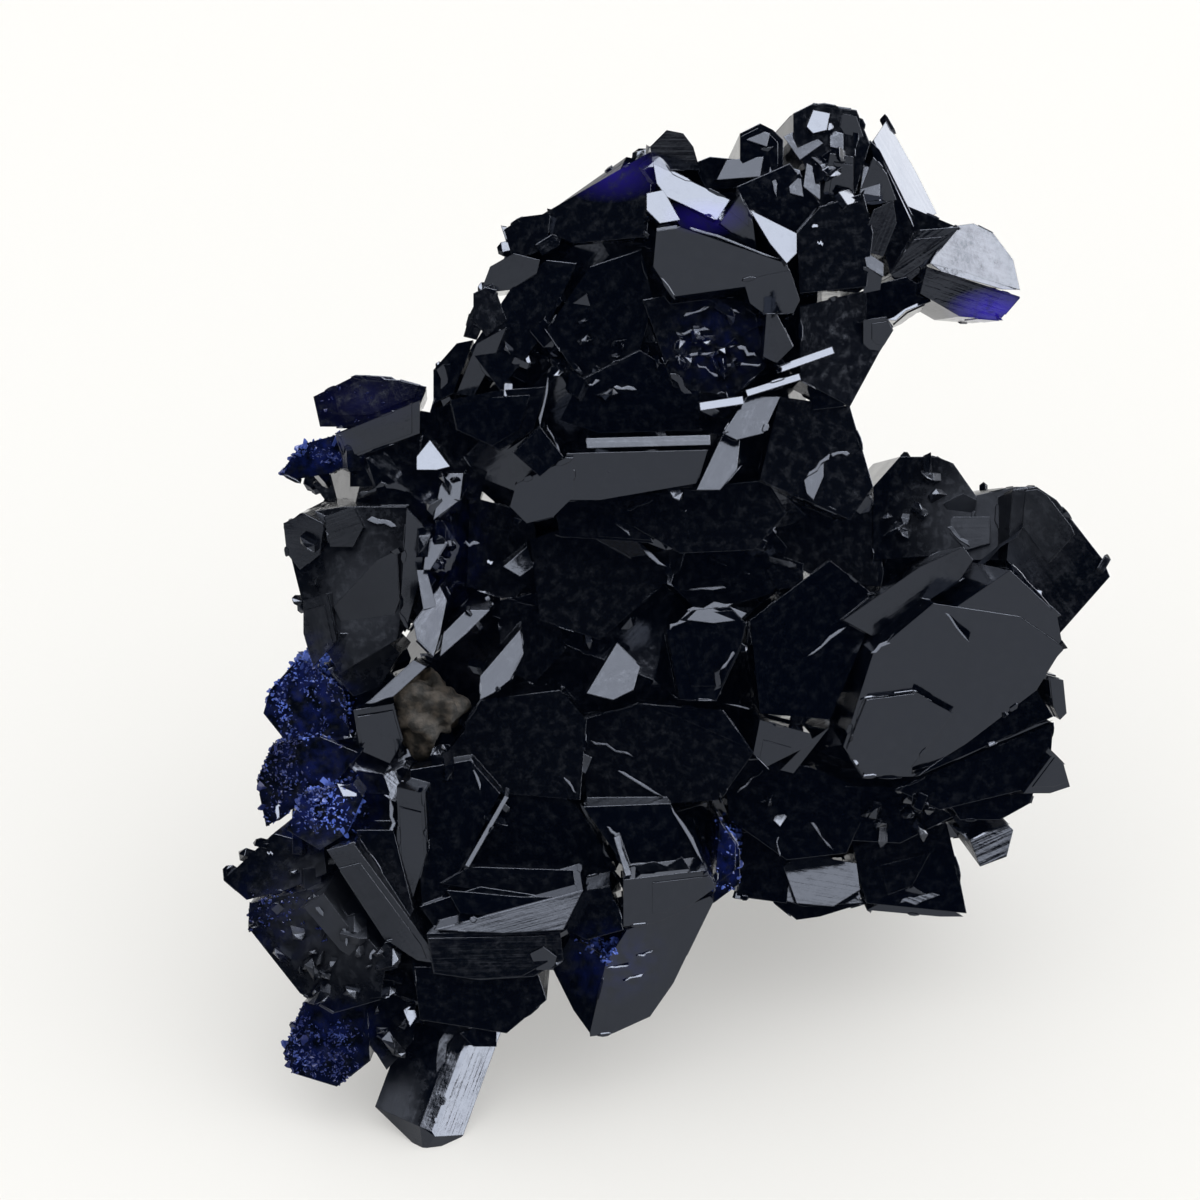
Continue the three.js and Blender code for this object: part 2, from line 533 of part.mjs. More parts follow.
// Crystals of the right lobe.
const RIGHT = [
  {
    outline: [[7.3, -4.4], [8.2, -1.6], [10, -0.1], [12.6, -0.5], [13.9, -1.4], [13.1, -2.7], [11, -4.3],
      [9.4, -5.3], [7.9, -5.3]],
    toward: 1.5, faces: [-0.1, -0.42], deep: 2.5,
  },
  {
    outline: [[10.7, -0.2], [12.3, 0.9], [13.7, -0.4], [13.9, -1.5], [12.8, -2.7], [11.2, -1.2]],
    toward: 2.5, faces: [-0.1, -0.42], deep: 2.5,
  },
  {
    outline: [[7.4, -4.5], [8, -3], [9.5, -2.8], [10.6, -3.4], [9.2, -5.2], [8, -5.3]],
    toward: 1.1, faces: [-0.1, -0.42], deep: 2,
  },
  {
    outline: [[7.3, -0.6], [9.6, 1], [10.9, 1.6], [11.2, 1.2], [10.8, 0.6], [8.2, -1.1]],
    toward: 1.7, faces: [-0.1, -0.4], deep: 3,
  },
  {
    outline: [[12.4, 1], [12.4, 0.4], [13.7, -0.4], [13.2, 0.2]],
    toward: 2.6, faces: [0.2, 0.22], deep: 2,
  },
  {
    outline: [[12.2, 1.2], [12.4, 3.3], [13.1, 3.4], [13.7, 3], [15.1, 1.2], [15.3, 0.7], [13.8, -1]],
    toward: 0.9, faces: [0.1, -0.28], deep: 3,
  },
  {
    outline: [[8.2, 3.4], [9, 4.3], [10.1, 4.3], [10.6, 4.1], [11.3, 3.1], [11, 1.4], [8.2, 1.2]],
    toward: 0.3, faces: [0.05, 0], deep: 3,
  },
  {
    outline: [[11.1, 3.1], [11.9, 3.2], [12.5, 3.4], [13.1, 3.4], [12.6, 1.2], [10.8, 1.2]],
    toward: 0.2, faces: [-0.05, 0], deep: 3,
  },
  {
    outline: [[9.5, -5.3], [11.1, -4.4], [13.1, -2.7], [13.6, -3.5], [10.3, -4.9]],
    toward: 0.6, faces: [0.1, 0], deep: 3,
  },
  {
    outline: [[8.9, -5.7], [10.4, -5], [13.6, -3.7], [13.5, -5], [12.7, -5.7], [10.2, -6.3]],
    toward: 0.2, faces: [0, -0.1], deep: 3,
  },
  {
    outline: [[13.5, -2.3], [13.9, -2.4], [14, -3.4], [13.8, -3.6], [13.6, -3.2]],
    toward: 0.6, faces: [0.3, -0.4], deep: 3,
  },
  {
    outline: [[13.6, -4.6], [13.9, -4.9], [14.1, -5.6], [13.5, -5.8], [12.7, -5.8], [13.4, -5.3]],
    toward: 0.4, faces: [0.2, -0.4], deep: 2,
  },
  {
    outline: [[10.4, -6], [13, -5.8], [12.9, -6.1], [12, -6.6], [10.8, -6.6]],
    toward: -0.4, faces: [0, -0.2], deep: 3,
  },
  {
    outline: [[11.1, -7.2], [12.2, -6.7], [12.4, -6.9], [12.2, -7.7], [11.4, -8]],
    toward: -0.9, faces: [0.1, 0.2], deep: 3,
  },
  {
    outline: [[5.5, -8.3], [5.7, -7.9], [6.8, -7.6], [7.6, -8.3], [7.8, -9.1], [6.1, -9.2], [5.5, -9]],
    toward: -2.3, faces: [0, 0.22], deep: 3,
  },
  {
    outline: [[4.9, -8.8], [5.5, -8.6], [7.9, -9.1], [6.6, -9.5], [5.9, -9.6], [5.4, -9.2]],
    toward: -2.9, faces: [0, -0.1], deep: 3,
  },
  {
    outline: [[7.6, -7.4], [10.4, -6.7], [10.7, -7.9], [11, -9.4], [9.4, -8.7], [8, -9.1], [7.8, -8.4]],
    toward: -2.2, faces: [0.1, -0.1], deep: 4,
  },
  {
    outline: [[8, -9.3], [9.4, -8.6], [10.9, -9.5], [10.2, -9.5]],
    toward: -2.5, faces: [0, -0.5], deep: 3,
  },
  {
    outline: [[4.1, -8.9], [4.3, -7], [5.2, -6.8], [5.7, -7.8], [5.6, -9.1], [4.8, -8.9]],
    toward: -1.9, faces: [0.1, -0.1], deep: 4,
  },
  {
    outline: [[3.6, -4.6], [6.3, -5], [8.2, -5.8], [7.4, -7.6], [5.6, -7.8], [3.9, -6.6]],
    toward: -0.8, faces: [0.1, -0.1], deep: 4,
  },
  {
    outline: [[7.4, -5.6], [9.2, -5.6], [10.6, -6.5], [9, -7.3], [7.2, -7.2]],
    toward: -1, faces: [0, -0.2], deep: 4,
  },
];

// Crystals of the lower left, with the blades that fan out there.
const LOWER = [
  {
    outline: [[-11.3, -8.4], [-9.8, -7], [-8.3, -7.4], [-8.2, -8.2], [-9.4, -8.7], [-10.6, -9]],
    toward: 1.4, faces: [-0.2, 0.05], deep: 2.5,
  },
  {
    outline: [[-10.5, -9.1], [-8.3, -8.6], [-6.4, -10.8], [-6.6, -12], [-8, -12.4], [-9, -11.8],
      [-10.5, -9.9]],
    toward: 1.8, faces: [-0.3, -0.1], deep: 3,
  },
  {
    outline: [[-8.9, -9.2], [-8.3, -8.8], [-7.4, -10], [-7.2, -10.9], [-7.8, -10.5]],
    toward: 2.4, faces: [0, -0.4], deep: 3,
  },
  {
    outline: [[-6.5, -10.5], [-5.5, -11.6], [-5.6, -13.2], [-6.4, -14.1], [-7.1, -13], [-7, -11.5]],
    toward: 0.9, faces: [0.2, 0], deep: 2.5,
  },
  {
    outline: [[-9.5, -13.6], [-8.9, -12.1], [-7, -12], [-6.9, -13.8], [-7.9, -14.6], [-9.2, -14.2]],
    toward: 0.8, faces: [-0.2, 0], deep: 1.8,
  },
  {
    outline: [[-8.2, -7.5], [-7.4, -7.3], [-5.1, -10.4], [-4.9, -10.9], [-5.5, -10.8], [-6.4, -10.2]],
    toward: 2.6, faces: [0.1, -0.35], deep: 3,
  },
  {
    outline: [[-7.3, -6.9], [-6.2, -6.9], [-5.6, -9.3], [-5.9, -9.9], [-6.9, -8.4]],
    toward: 2.5, faces: [-0.1, -0.2], deep: 3,
  },
  {
    outline: [[-6.1, -5.6], [-5.3, -5.8], [-5.2, -7.6], [-5.7, -9.2], [-6, -8.5]],
    toward: 2.6, faces: [0.1, -0.35], deep: 3,
  },
  {
    outline: [[-5.7, -5.1], [-3.9, -4.8], [-3, -5.8], [-4.1, -8], [-4.8, -9], [-5.3, -9.4]],
    toward: 2, faces: [0.1, 0], deep: 3,
  },
  {
    outline: [[-4.1, -8], [-3, -5.9], [-2.1, -5.2], [-0.6, -6.3], [0.5, -8.1], [-0.6, -8.7], [-3.9, -9.1]],
    toward: 1, faces: [0.1, 0], deep: 3,
  },
  {
    outline: [[-5.4, -9.2], [-3.6, -8.6], [-1.6, -8.9], [-4.9, -9.9]],
    toward: 2.2, faces: [0, 0], deep: 3,
  },
  {
    outline: [[-5, -9.9], [-0.5, -8.7], [-1, -9.1], [-1.1, -9.9], [-2.9, -10]],
    toward: 2.8, faces: [-0.05, 0.22], deep: 2,
  },
  {
    outline: [[-5.2, -10], [-1.2, -9.9], [-1.1, -10.8], [-2, -11.3], [-3.6, -11.4], [-5, -11.2]],
    toward: 2.5, faces: [0, -0.25], deep: 3,
  },
  {
    outline: [[-5.6, -11], [-1.9, -11.1], [-1.6, -12], [-2.3, -12.1], [-2.8, -13], [-5.4, -12.6]],
    toward: 1.7, faces: [0.05, -0.1], deep: 3,
  },
  {
    outline: [[0.7, -8.4], [1.9, -8.4], [3.2, -8.1], [3.5, -8.6], [2.4, -9.4], [1.6, -9.7], [0.7, -9.8]],
    toward: 2.2, faces: [0.1, -0.5], deep: 3,
  },
  {
    outline: [[-0.5, -6.2], [2.1, -6.1], [3.2, -8.1], [1.9, -8.4], [1, -8.4]],
    toward: 1.8, faces: [0.05, 0.05], deep: 4,
  },
  {
    outline: [[-1.1, -9.3], [-0.4, -8.7], [0.3, -8.6], [0.7, -9.9], [-0.4, -10.2], [-1, -9.9]],
    toward: 1.9, faces: [-0.2, 0], deep: 3,
  },
  {
    outline: [[-0.3, -13.1], [-0.4, -11.8], [0.1, -11], [0.8, -9.9], [2.2, -9.7], [3.5, -8.8], [2.2, -11.5],
      [1.5, -12.5], [0.4, -13]],
    toward: 0.6, faces: [0.25, -0.45], deep: 3,
  },
  {
    outline: [[-1.4, -11.1], [-0.9, -10.1], [0.2, -10.8], [-0.3, -11.8], [-0.3, -13], [-0.8, -12.3]],
    toward: 1, faces: [-0.35, 0], deep: 3,
  },
  {
    outline: [[3.4, -9.1], [3.6, -6.6], [4.2, -7.5], [4.2, -8.5]],
    toward: 1.2, faces: [0.2, 0], deep: 3,
  },
];

// The longest of the thin blades that are seen edge-on, as narrow lines between two places.
const EDGES = [
  { from: [5.3, 6.9], to: [7, 7.5], breadth: 0.22, toward: 4, faces: [0.05, 0.45] },
  { from: [3, 5.8], to: [4.3, 6], breadth: 0.24, toward: 4.8, faces: [0, 0.4] },
  { from: [4.4, 6.2], to: [6, 6.7], breadth: 0.2, toward: 4.6, faces: [0.05, 0.4] },
  { from: [-0.4, 4.7], to: [3.3, 4.8], breadth: 0.3, toward: 4.9, faces: [0, 0.27] },
  { from: [-2.8, -5.9], to: [-4, -8], breadth: 0.13, toward: 2.2, faces: [0.05, 0.27] },
  { from: [0.5, -7.1], to: [0.9, -8.4], breadth: 0.18, toward: 2.2, faces: [0.1, 0.33] },
];

// The stout prism at the lower left that the cluster stands on: its ring of corners at the foot, and how far
// the same ring is shifted at its upper end, inside the cluster.
const PRISM_FOOT = [
  [-6.75, -15.2, 0.3],
  [-5.4, -15.8, 1.18],
  [-5.05, -15.95, 1.05],
  [-4.95, -16.1, 1],
  [-4.1, -16.05, 0.3],
  [-4.6, -15.6, -1.2],
  [-6.2, -15.1, -0.9],
];
const PRISM_SHIFT = [1.4, 3.8, -1.2];
const PRISM_TIPS = [[-5.3, -16.6, 0.6], [-4.6, -16.6, 0.4], [-5, -16.2, -0.6]];

function prism() {
  const foot = PRISM_FOOT.map((p) => seen(...p));
  const shift = new THREE.Vector3(...PRISM_SHIFT);
  const tips = PRISM_TIPS.map((p) => seen(...p));
  return hull([...foot, ...foot.map((p) => p.clone().add(shift)), ...tips]);
}

// Two stout crystals at the back, out of the viewer's sight, that carry the cluster with the prism. They are
// given in X, Y and Z above the floor: where the foot stands, where the crystal joins the mass, how broad
// it is there, and which way its broad side is turned.
const LEGS = [
  { foot: [9.4, 4.6, 0], join: [7.4, 2.4, 4.6], breadth: 2.4, turn: 0.5 },
  { foot: [-5, 7.4, 0], join: [-2.4, 4.8, 6], breadth: 3, turn: 2.5 },
];
const LEG_FLATNESS = 0.6; // thickness of those crystals over their breadth
const LEG_TAPER = 0.55; // size of the foot over that at the join

function leg({ foot, join, breadth, turn }) {
  const points = [];
  for (let i = 0; i < 6; i++) {
    const angle = (Math.PI * i) / 3;
    const across = new THREE.Vector3(Math.cos(angle), LEG_FLATNESS * Math.sin(angle), 0);
    across.applyAxisAngle(new THREE.Vector3(0, 0, 1), turn);
    points.push(new THREE.Vector3(...foot).addScaledVector(across, breadth * LEG_TAPER));
    points.push(new THREE.Vector3(...join).addScaledVector(across, breadth));
  }
  return solidOf(new ConvexGeometry(points));
}

// Larger blades on the back and the underside.
const BACK_SPRAYS = [
  {
    centre: [3, 8, -2], radii: [2.4, 1.8, 0.5], heart: [3, 8, 3],
    count: 7, length: 2.6, width: 2.8, seed: 206,
  },
  {
    centre: [0.6, 1.6, -9.4], radii: [4.8, 3.8, 0.8], heart: [1, 1, -3],
    count: 10, length: 3.4, width: 3.4, seed: 202,
  },
  {
    centre: [-6.2, -1.4, -3.4], radii: [1.4, 4.4, 0.6], heart: [-5, -2, 2],
    count: 5, length: 2.8, width: 2.4, seed: 203,
  },
  {
    centre: [9.2, -1.6, -5.4], radii: [2.4, 2.4, 0.6], heart: [9, -1.5, 0],
    count: 6, length: 3, width: 2.8, seed: 204,
  },
  {
    centre: [0, -6.6, -4.6], radii: [4.6, 1.6, 1.4], heart: [0, -3, -2],
    count: 4, length: 2.6, width: 2.4, seed: 205,
  },
];

// The limonite scrap, a small uneven stone in a pocket of the same form.
const LIMONITE = { centre: [-5.15, -3.4, 1], radii: [0.85, 1.35, 0.9], seed: 43, corners: 30, rough: 0.3 };

const lumpSolid = (spec) => hull(lump(spec));

// The same form, larger by a clearance all round.
function grown(spec, clearance) {
  return { ...spec, radii: spec.radii.map((radius) => radius + clearance) };
}

function cluster() {
  const tablets = [...UPPER, ...LEFT, ...CENTRE, ...RIGHT, ...LOWER].map(tablet);
  const edges = EDGES.map(edgeOn);
  const blades = BACK_SPRAYS.flatMap(spray);
  const supports = [prism(), ...LEGS.map(leg)];
  return wasm.Manifold.union([...LUMPS.map(lumpSolid), ...tablets, ...edges, ...blades, ...supports]);
}

// Cuts away what would lie below the floor, so the crystals' feet end level.
function trimmed(solid) {
  const block = new THREE.BoxGeometry(FLOOR_SPAN, FLOOR_SPAN, FLOOR_SPAN).translate(0, 0, -FLOOR_SPAN / 2);
  return solid.subtract(solidOf(block));
}

// The largest of a solid's bodies: chips that a cut has left loose are dropped.
function largest(solid) {
  return solid.decompose().reduce((best, body) => (body.volume() > best.volume() ? body : best));
}

function geometryOf(solid, shift) {
  const mesh = solid.getMesh();
  return new THREE.BufferGeometry()
    .setAttribute("position", new THREE.BufferAttribute(new Float32Array(mesh.vertProperties), 3))
    .setIndex(new THREE.BufferAttribute(new Uint32Array(mesh.triVerts), 1))
    .translate(shift.x, shift.y, shift.z);
}

const pocket = lumpSolid(grown(LIMONITE, POCKET_GAP));
const crystals = largest(trimmed(cluster()).subtract(pocket));
const box = crystals.boundingBox();
const toOrigin = new THREE.Vector3(
  -(box.min[0] + box.max[0]) / 2,
  -(box.min[1] + box.max[1]) / 2,
  -box.min[2],
);

const azurite = new THREE.MeshStandardMaterial({ color: 0x10121c, roughness: 0.18, metalness: 0 });
const limonite = new THREE.MeshStandardMaterial({ color: 0x6b5a43, roughness: 0.9, metalness: 0 });

const specimen = new THREE.Group();

function add(name, solid, material) {
  const mesh = new THREE.Mesh(geometryOf(solid, toOrigin), material);
  mesh.name = name;
  specimen.add(mesh);
}

add("azurite_crystals", crystals, azurite);
add("limonite", lumpSolid(LIMONITE), limonite);

export default specimen;
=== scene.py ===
"""Azurite specimen: blue-black bladed crystals, blue crusts of fine crystals and a scrap of limonite."""

import math

import bmesh
import bpy
import numpy as np
from bpy.props import FloatProperty, FloatVectorProperty, IntProperty, PointerProperty
from bpy.types import Operator, Panel, PropertyGroup
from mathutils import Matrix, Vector


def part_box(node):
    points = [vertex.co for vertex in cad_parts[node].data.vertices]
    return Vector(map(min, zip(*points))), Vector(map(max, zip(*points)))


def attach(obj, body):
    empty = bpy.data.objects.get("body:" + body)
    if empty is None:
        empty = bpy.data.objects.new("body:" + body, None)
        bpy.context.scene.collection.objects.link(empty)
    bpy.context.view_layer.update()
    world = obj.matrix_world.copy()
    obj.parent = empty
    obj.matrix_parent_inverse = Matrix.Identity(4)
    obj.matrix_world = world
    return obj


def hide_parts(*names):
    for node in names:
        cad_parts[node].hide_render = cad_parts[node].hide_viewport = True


bl_info = {
    "name": "Azurite Specimen",
    "version": (1, 0, 0),
    "blender": (4, 5, 0),
    "location": "View3D > Sidebar > Azurite",
    "description": "Dresses the azurite cluster with its finish, blue crusts, limonite and a paper stage",
    "category": "Object",
}

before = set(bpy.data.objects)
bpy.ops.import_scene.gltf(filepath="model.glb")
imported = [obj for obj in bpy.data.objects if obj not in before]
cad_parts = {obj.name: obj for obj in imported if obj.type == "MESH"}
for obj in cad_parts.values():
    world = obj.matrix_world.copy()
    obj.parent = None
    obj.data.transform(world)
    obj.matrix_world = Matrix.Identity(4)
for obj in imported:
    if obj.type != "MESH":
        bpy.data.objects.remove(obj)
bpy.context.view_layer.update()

MM = 0.001

# The viewer's sheet: its middle in the part's frame, how far the viewer looks down, from how far, and its
# width.
SHEET_CENTRE = np.array([-2.013, -1.407, 13.0]) * MM
VIEW_ELEVATION = math.radians(35.0)
VIEW_DISTANCE = 200.0 * MM
SHEET_WIDTH = 36.0 * MM
SHEET_TURN = (math.pi / 2 - VIEW_ELEVATION, 0.0, 0.0)  # from the part's axes to the sheet's

RIGHT = np.array([1.0, 0.0, 0.0])
UP = np.array([0.0, math.sin(VIEW_ELEVATION), math.cos(VIEW_ELEVATION)])
TOWARD = np.array([0.0, -math.cos(VIEW_ELEVATION), math.sin(VIEW_ELEVATION)])

# The camera.
SENSOR_WIDTH = 36.0  # mm
CLIP_START = 0.01  # m

# The card and the light. A panel has a name, degrees to the right of the viewer's side and above the floor,
# its distance and size in metres, and its radiance.
FLOOR_HALF = 1.5  # half of the card's side, m
FLOOR_CELLS = 24  # cells along a side
MIRRORED_PANELS = (
    ("panel_overhead", (0.0, 91.0), 0.5, (0.40, 0.36), 15.5),
    ("panel_front", (0.0, 62.5), 0.5, (0.40, 0.13), 5.0),
    ("panel_side", (98.0, 22.0), 0.6, (0.78, 0.48), 12.0),
)
FILL_PANEL = ("panel_fill", (0.0, 84.0), 0.9, (3.0, 3.0), 0.58)
TENT_STRENGTH = 0.84

# Patterns of the finishes: real sizes in mm, which the UVs of the facets are in too.
STAIN_SPAN = 0.4  # patches of the stain that the crusts leave
PIT_SPAN = 0.3125  # pitted patches
SWELL_SPAN = 10.0 / 7.0  # from one swell of a facet to the next
LINE_LENGTH = 4.0  # a growth line
LINE_SPAN = 0.125  # from one growth line to the next
GRAIN_SPAN = 1.0 / 9.0  # fine pits and dust
EARTH_SPAN = 0.4  # a light and a dark grain of limonite

# Depths of the same, mm.
SWELL_DEPTH = 0.1
LINE_DEPTH = 0.02
GRAIN_DEPTH = 0.01
EARTH_DEPTH = 0.2

BLADE_IOR = 1.55  # worn facets mirror less than azurite's own 1.73 would
POLISH = (0.06, 0.16)  # roughness of the best and the least polished facets
PIT_DULLING = 0.24  # roughness that pits add
WEATHER_DULLING = 0.42  # roughness that weathering adds

# Sockets of a Mix node for colours.
MIX_SHARE, MIX_FROM, MIX_TO = 0, 6, 7
MIXED = 2

# Where a painted violet glow stands in for light through thin blades: middle and radii on the sheet in mm,
# and strength.
PAINTED_GLOW_SPOTS = (
    ((0.4, 12.8), (1.8, 0.9), 0.45),
    ((11.8, 8.7), (1.5, 0.7), 1.2),
    ((3.2, 11.5), (1.4, 0.6), 0.5),
    ((-7.0, 6.0), (2.2, 1.0), 0.07),
)

# Where a fine crust stains the blades blue: middle and radii on the sheet in mm, and strength.
STAINED_SPOTS = (
    ((-9.0, -3.0), (2.0, 2.4), 1.4),
    ((-8.4, -6.0), (2.2, 1.9), 1.2),
    ((-8.6, 4.5), (1.8, 1.0), 1.3),
    ((-7.2, 6.0), (2.2, 1.2), 0.15),
    ((-8.3, -13.3), (2.2, 2.0), 0.8),
    ((-9.6, -9.4), (1.8, 1.8), 0.5),
    ((3.8, -7.7), (0.9, 1.6), 1.2),
    ((0.4, -10.8), (1.8, 1.5), 0.8),
    ((3.5, 7.6), (1.8, 1.6), 0.5),
    ((-4.5, 1.6), (1.4, 2.6), 0.4),
)

# Where the blades are weathered dull: middle and radii on the sheet in mm, and strength.
DULL_SPOTS = (
    ((-7.2, 0.0), (2.6, 3.6), 0.8),
    ((-8.0, -9.6), (3.2, 3.0), 1.2),
    ((-3.0, 9.0), (3.4, 3.2), 1.0),
    ((11.6, 2.4), (3.2, 2.8), 1.0),
    ((-6.2, -15.2), (1.2, 2.6), 1.2),
)
SPOT_DEPTH = 3.0 * MM

# What a flake or a thin blade's edge faces to the right and up, for each unit that it faces the viewer.
# These mirror the panel overhead, the dim one in front of it, the card, and the dark between the panels.
TO_OVERHEAD = (0.0, 0.45)
TO_FRONT = (0.0, 0.26)
TO_CARD = (0.0, -0.42)
TO_DARK = (0.0, 0.05)

# Thin blades seen edge-on: two ends on the sheet in mm, breadth in mm, and what the edge faces.
THIN_BLADES = (
    ((2.4, 11.3), (5.5, 10.2), 0.13, TO_FRONT),
    ((9.9, 10.1), (12.5, 9.3), 0.24, (0.6, 0.65)),
    ((8.6, 8.4), (10.2, 9.1), 0.2, (0.05, 0.45)),
    ((3.4, 12.6), (5.2, 13.6), 0.3, (0.0, -0.4)),
    ((5.1, 13.0), (5.3, 12.1), 0.15, (0.1, 0.25)),
    ((2.5, 8.5), (3.3, 8.8), 0.16, (0.0, 0.2)),
    ((3.2, 9.0), (4.2, 8.6), 0.16, (0.05, 0.2)),
    ((2.4, 8.0), (3.3, 8.1), 0.18, (0.0, 0.2)),
    ((2.6, 7.3), (3.6, 7.4), 0.18, (-0.05, 0.24)),
    ((4.1, 7.6), (4.7, 7.3), 0.2, (0.05, 0.24)),
    ((2.9, 7.1), (3.6, 6.7), 0.14, (0.0, 0.2)),
    ((3.9, 7.0), (4.9, 7.1), 0.14, (0.0, 0.2)),
    ((2.1, 6.8), (2.8, 6.1), 0.3, (0.0, -0.4)),
    ((-2.8, 4.5), (-1.8, 5.3), 0.14, (-0.05, 0.25)),
    ((-1.6, 5.3), (-1.1, 4.2), 0.14, (0.1, 0.25)),
    ((-1.8, 5.2), (-1.5, 6.9), 0.17, (0.1, 0.25)),
    ((-0.6, 6.3), (0.0, 6.6), 0.14, TO_FRONT),
    ((0.4, 6.4), (1.1, 6.3), 0.14, TO_FRONT),
    ((6.2, 3.7), (6.9, 4.4), 0.16, (-0.05, 0.25)),
    ((6.9, 4.4), (7.5, 4.4), 0.18, (0.0, 0.25)),
    ((-7.3, 3.2), (-6.4, 3.5), 0.25, (0.0, -0.4)),
    ((-6.5, 3.5), (-5.6, 3.2), 0.25, (0.0, -0.4)),
    ((-7.0, 2.4), (-6.1, 2.2), 0.22, (0.0, 0.22)),
    ((-4.1, 1.7), (-3.6, 1.7), 0.2, TO_FRONT),
    ((-6.5, -5.3), (-5.8, -4.8), 0.2, TO_OVERHEAD),
    ((-9.6, -6.0), (-9.7, -6.6), 0.18, (0.0, 0.4)),
    ((-6.3, -5.9), (-6.2, -6.9), 0.16, (0.0, 0.27)),
    ((-8.6, -8.8), (-8.3, -9.5), 0.2, TO_FRONT),
    ((-7.7, -9.7), (-7.6, -10.4), 0.16, (0.0, 0.24)),
    ((-6.9, -10.8), (-6.7, -10.4), 0.2, (0.0, 0.27)),
    ((-3.9, -4.7), (-3.6, -5.7), 0.13, (0.05, 0.22)),
    ((-0.6, -6.1), (0.1, -7.3), 0.16, (0.1, -0.4)),
    ((0.1, -7.3), (0.7, -8.7), 0.24, (0.1, -0.4)),
    ((0.2, -6.8), (0.6, -7.2), 0.14, (0.1, 0.27)),
    ((2.1, -6.1), (3.1, -7.9), 0.18, (0.1, 0.27)),
    ((2.1, -0.9), (2.7, -0.3), 0.24, (-0.05, 0.25)),
    ((2.6, -0.3), (4.0, -0.1), 0.3, (0.0, 0.27)),
    ((3.9, -0.1), (4.4, -0.6), 0.16, (0.1, 0.25)),
    ((4.3, -0.6), (5.2, 0.3), 0.15, (0.0, 0.24)),
    ((4.4, -0.6), (4.5, -1.4), 0.13, (0.1, 0.24)),
    ((4.2, -1.4), (3.6, -2.1), 0.18, (0.1, 0.2)),
    ((3.6, -2.1), (3.4, -2.9), 0.3, (0.1, -0.4)),
    ((3.7, -3.1), (6.9, -3.9), 0.14, (0.05, 0.24)),
    ((4.1, -5.8), (4.9, -5.1), 0.13, (0.0, 0.2)),
    ((0.3, 2.6), (0.9, 1.9), 0.14, (0.0, 0.22)),
    ((0.8, 2.0), (2.0, 1.0), 0.18, (0.0, 0.24)),
    ((1.9, 1.2), (2.2, 0.4), 0.28, (0.05, 0.26)),
    ((0.8, 2.7), (1.6, 3.0), 0.12, (0.0, 0.24)),
    ((2.6, 0.3), (3.9, 0.4), 0.14, (0.0, 0.24)),
    ((3.3, 1.3), (3.8, 1.0), 0.13, TO_FRONT),
    ((-0.3, -4.2), (1.0, -4.7), 0.13, (0.0, 0.2)),
    ((0.5, -5.1), (1.9, -5.9), 0.12, (0.0, 0.22)),
    ((-1.1, -5.3), (-0.7, -5.8), 0.13, (0.0, 0.22)),
    ((6.2, -1.7), (7.4, -0.8), 0.15, (-0.05, 0.24)),
    ((8.1, -1.6), (9.0, -1.0), 0.18, (-0.05, 0.25)),
    ((10.1, -0.1), (11.1, -1.3), 0.14, (0.1, 0.22)),
    ((11.0, 0.7), (12.7, 2.2), 0.2, (-0.05, -0.35)),
    ((10.4, 2.2), (11.1, 1.6), 0.18, (0.1, 0.2)),
    ((10.3, -4.9), (13.6, -3.6), 0.14, (0.0, -0.4)),
    ((10.5, -6.7), (11.2, -7.3), 0.16, (0.05, 0.27)),
    ((11.1, -7.2), (12.3, -6.7), 0.12, (0.0, 0.4)),
    ((6.2, -6.5), (7.0, -7.5), 0.13, (0.1, 0.22)),
    ((5.3, -7.0), (5.4, -7.7), 0.13, (0.1, 0.22)),
    ((0.2, -11.05), (0.9, -10.95), 0.12, (0.0, 0.4)),
    ((1.1, -10.7), (1.6, -10.5), 0.12, (0.0, 0.4)),
    ((0.7, -11.45), (1.3, -11.2), 0.12, (0.0, 0.4)),
    ((6.35, 11.2), (6.55, 11.2), 0.16, TO_OVERHEAD),
    ((6.5, 10.7), (6.7, 10.7), 0.16, TO_OVERHEAD),
    ((-3.4, 1.15), (-3.2, 1.15), 0.15, TO_OVERHEAD),
    ((-2.2, 0.3), (-2.0, 0.3), 0.15, (0.0, 0.4)),
    ((4.8, -6.0), (5.0, -6.0), 0.16, TO_OVERHEAD),
    ((4.3, 0.8), (4.5, 0.8), 0.13, (0.0, 0.4)),
    ((2.4, 2.7), (2.6, 2.7), 0.13, (0.0, 0.4)),
    ((-10.0, -7.6), (-9.8, -7.6), 0.14, (0.0, 0.4)),
    ((-4.1, -12.0), (-4.9, -14.2), 0.45, (0.05, 0.22)),
    ((9.0, -9.1), (10.2, -8.85), 0.35, (0.0, 0.22)),
    ((-6.4, -5.2), (-5.5, -4.4), 0.5, TO_FRONT),
    ((-4.7, 7.1), (-4.7, 5.8), 0.4, TO_CARD),
    ((1.0, -7.95), (2.7, -8.05), 0.6, TO_DARK),
)
RIDGE_SHARES = np.array([0.14, 0.36, 0.6, 0.84])  # stations along a thin blade's edge
RIDGE_WANDER = 0.3  # how far they stray to the side, over the breadth
RIDGE_SIDES = (0.1, 0.45)  # distance of its sides from them, over the breadth

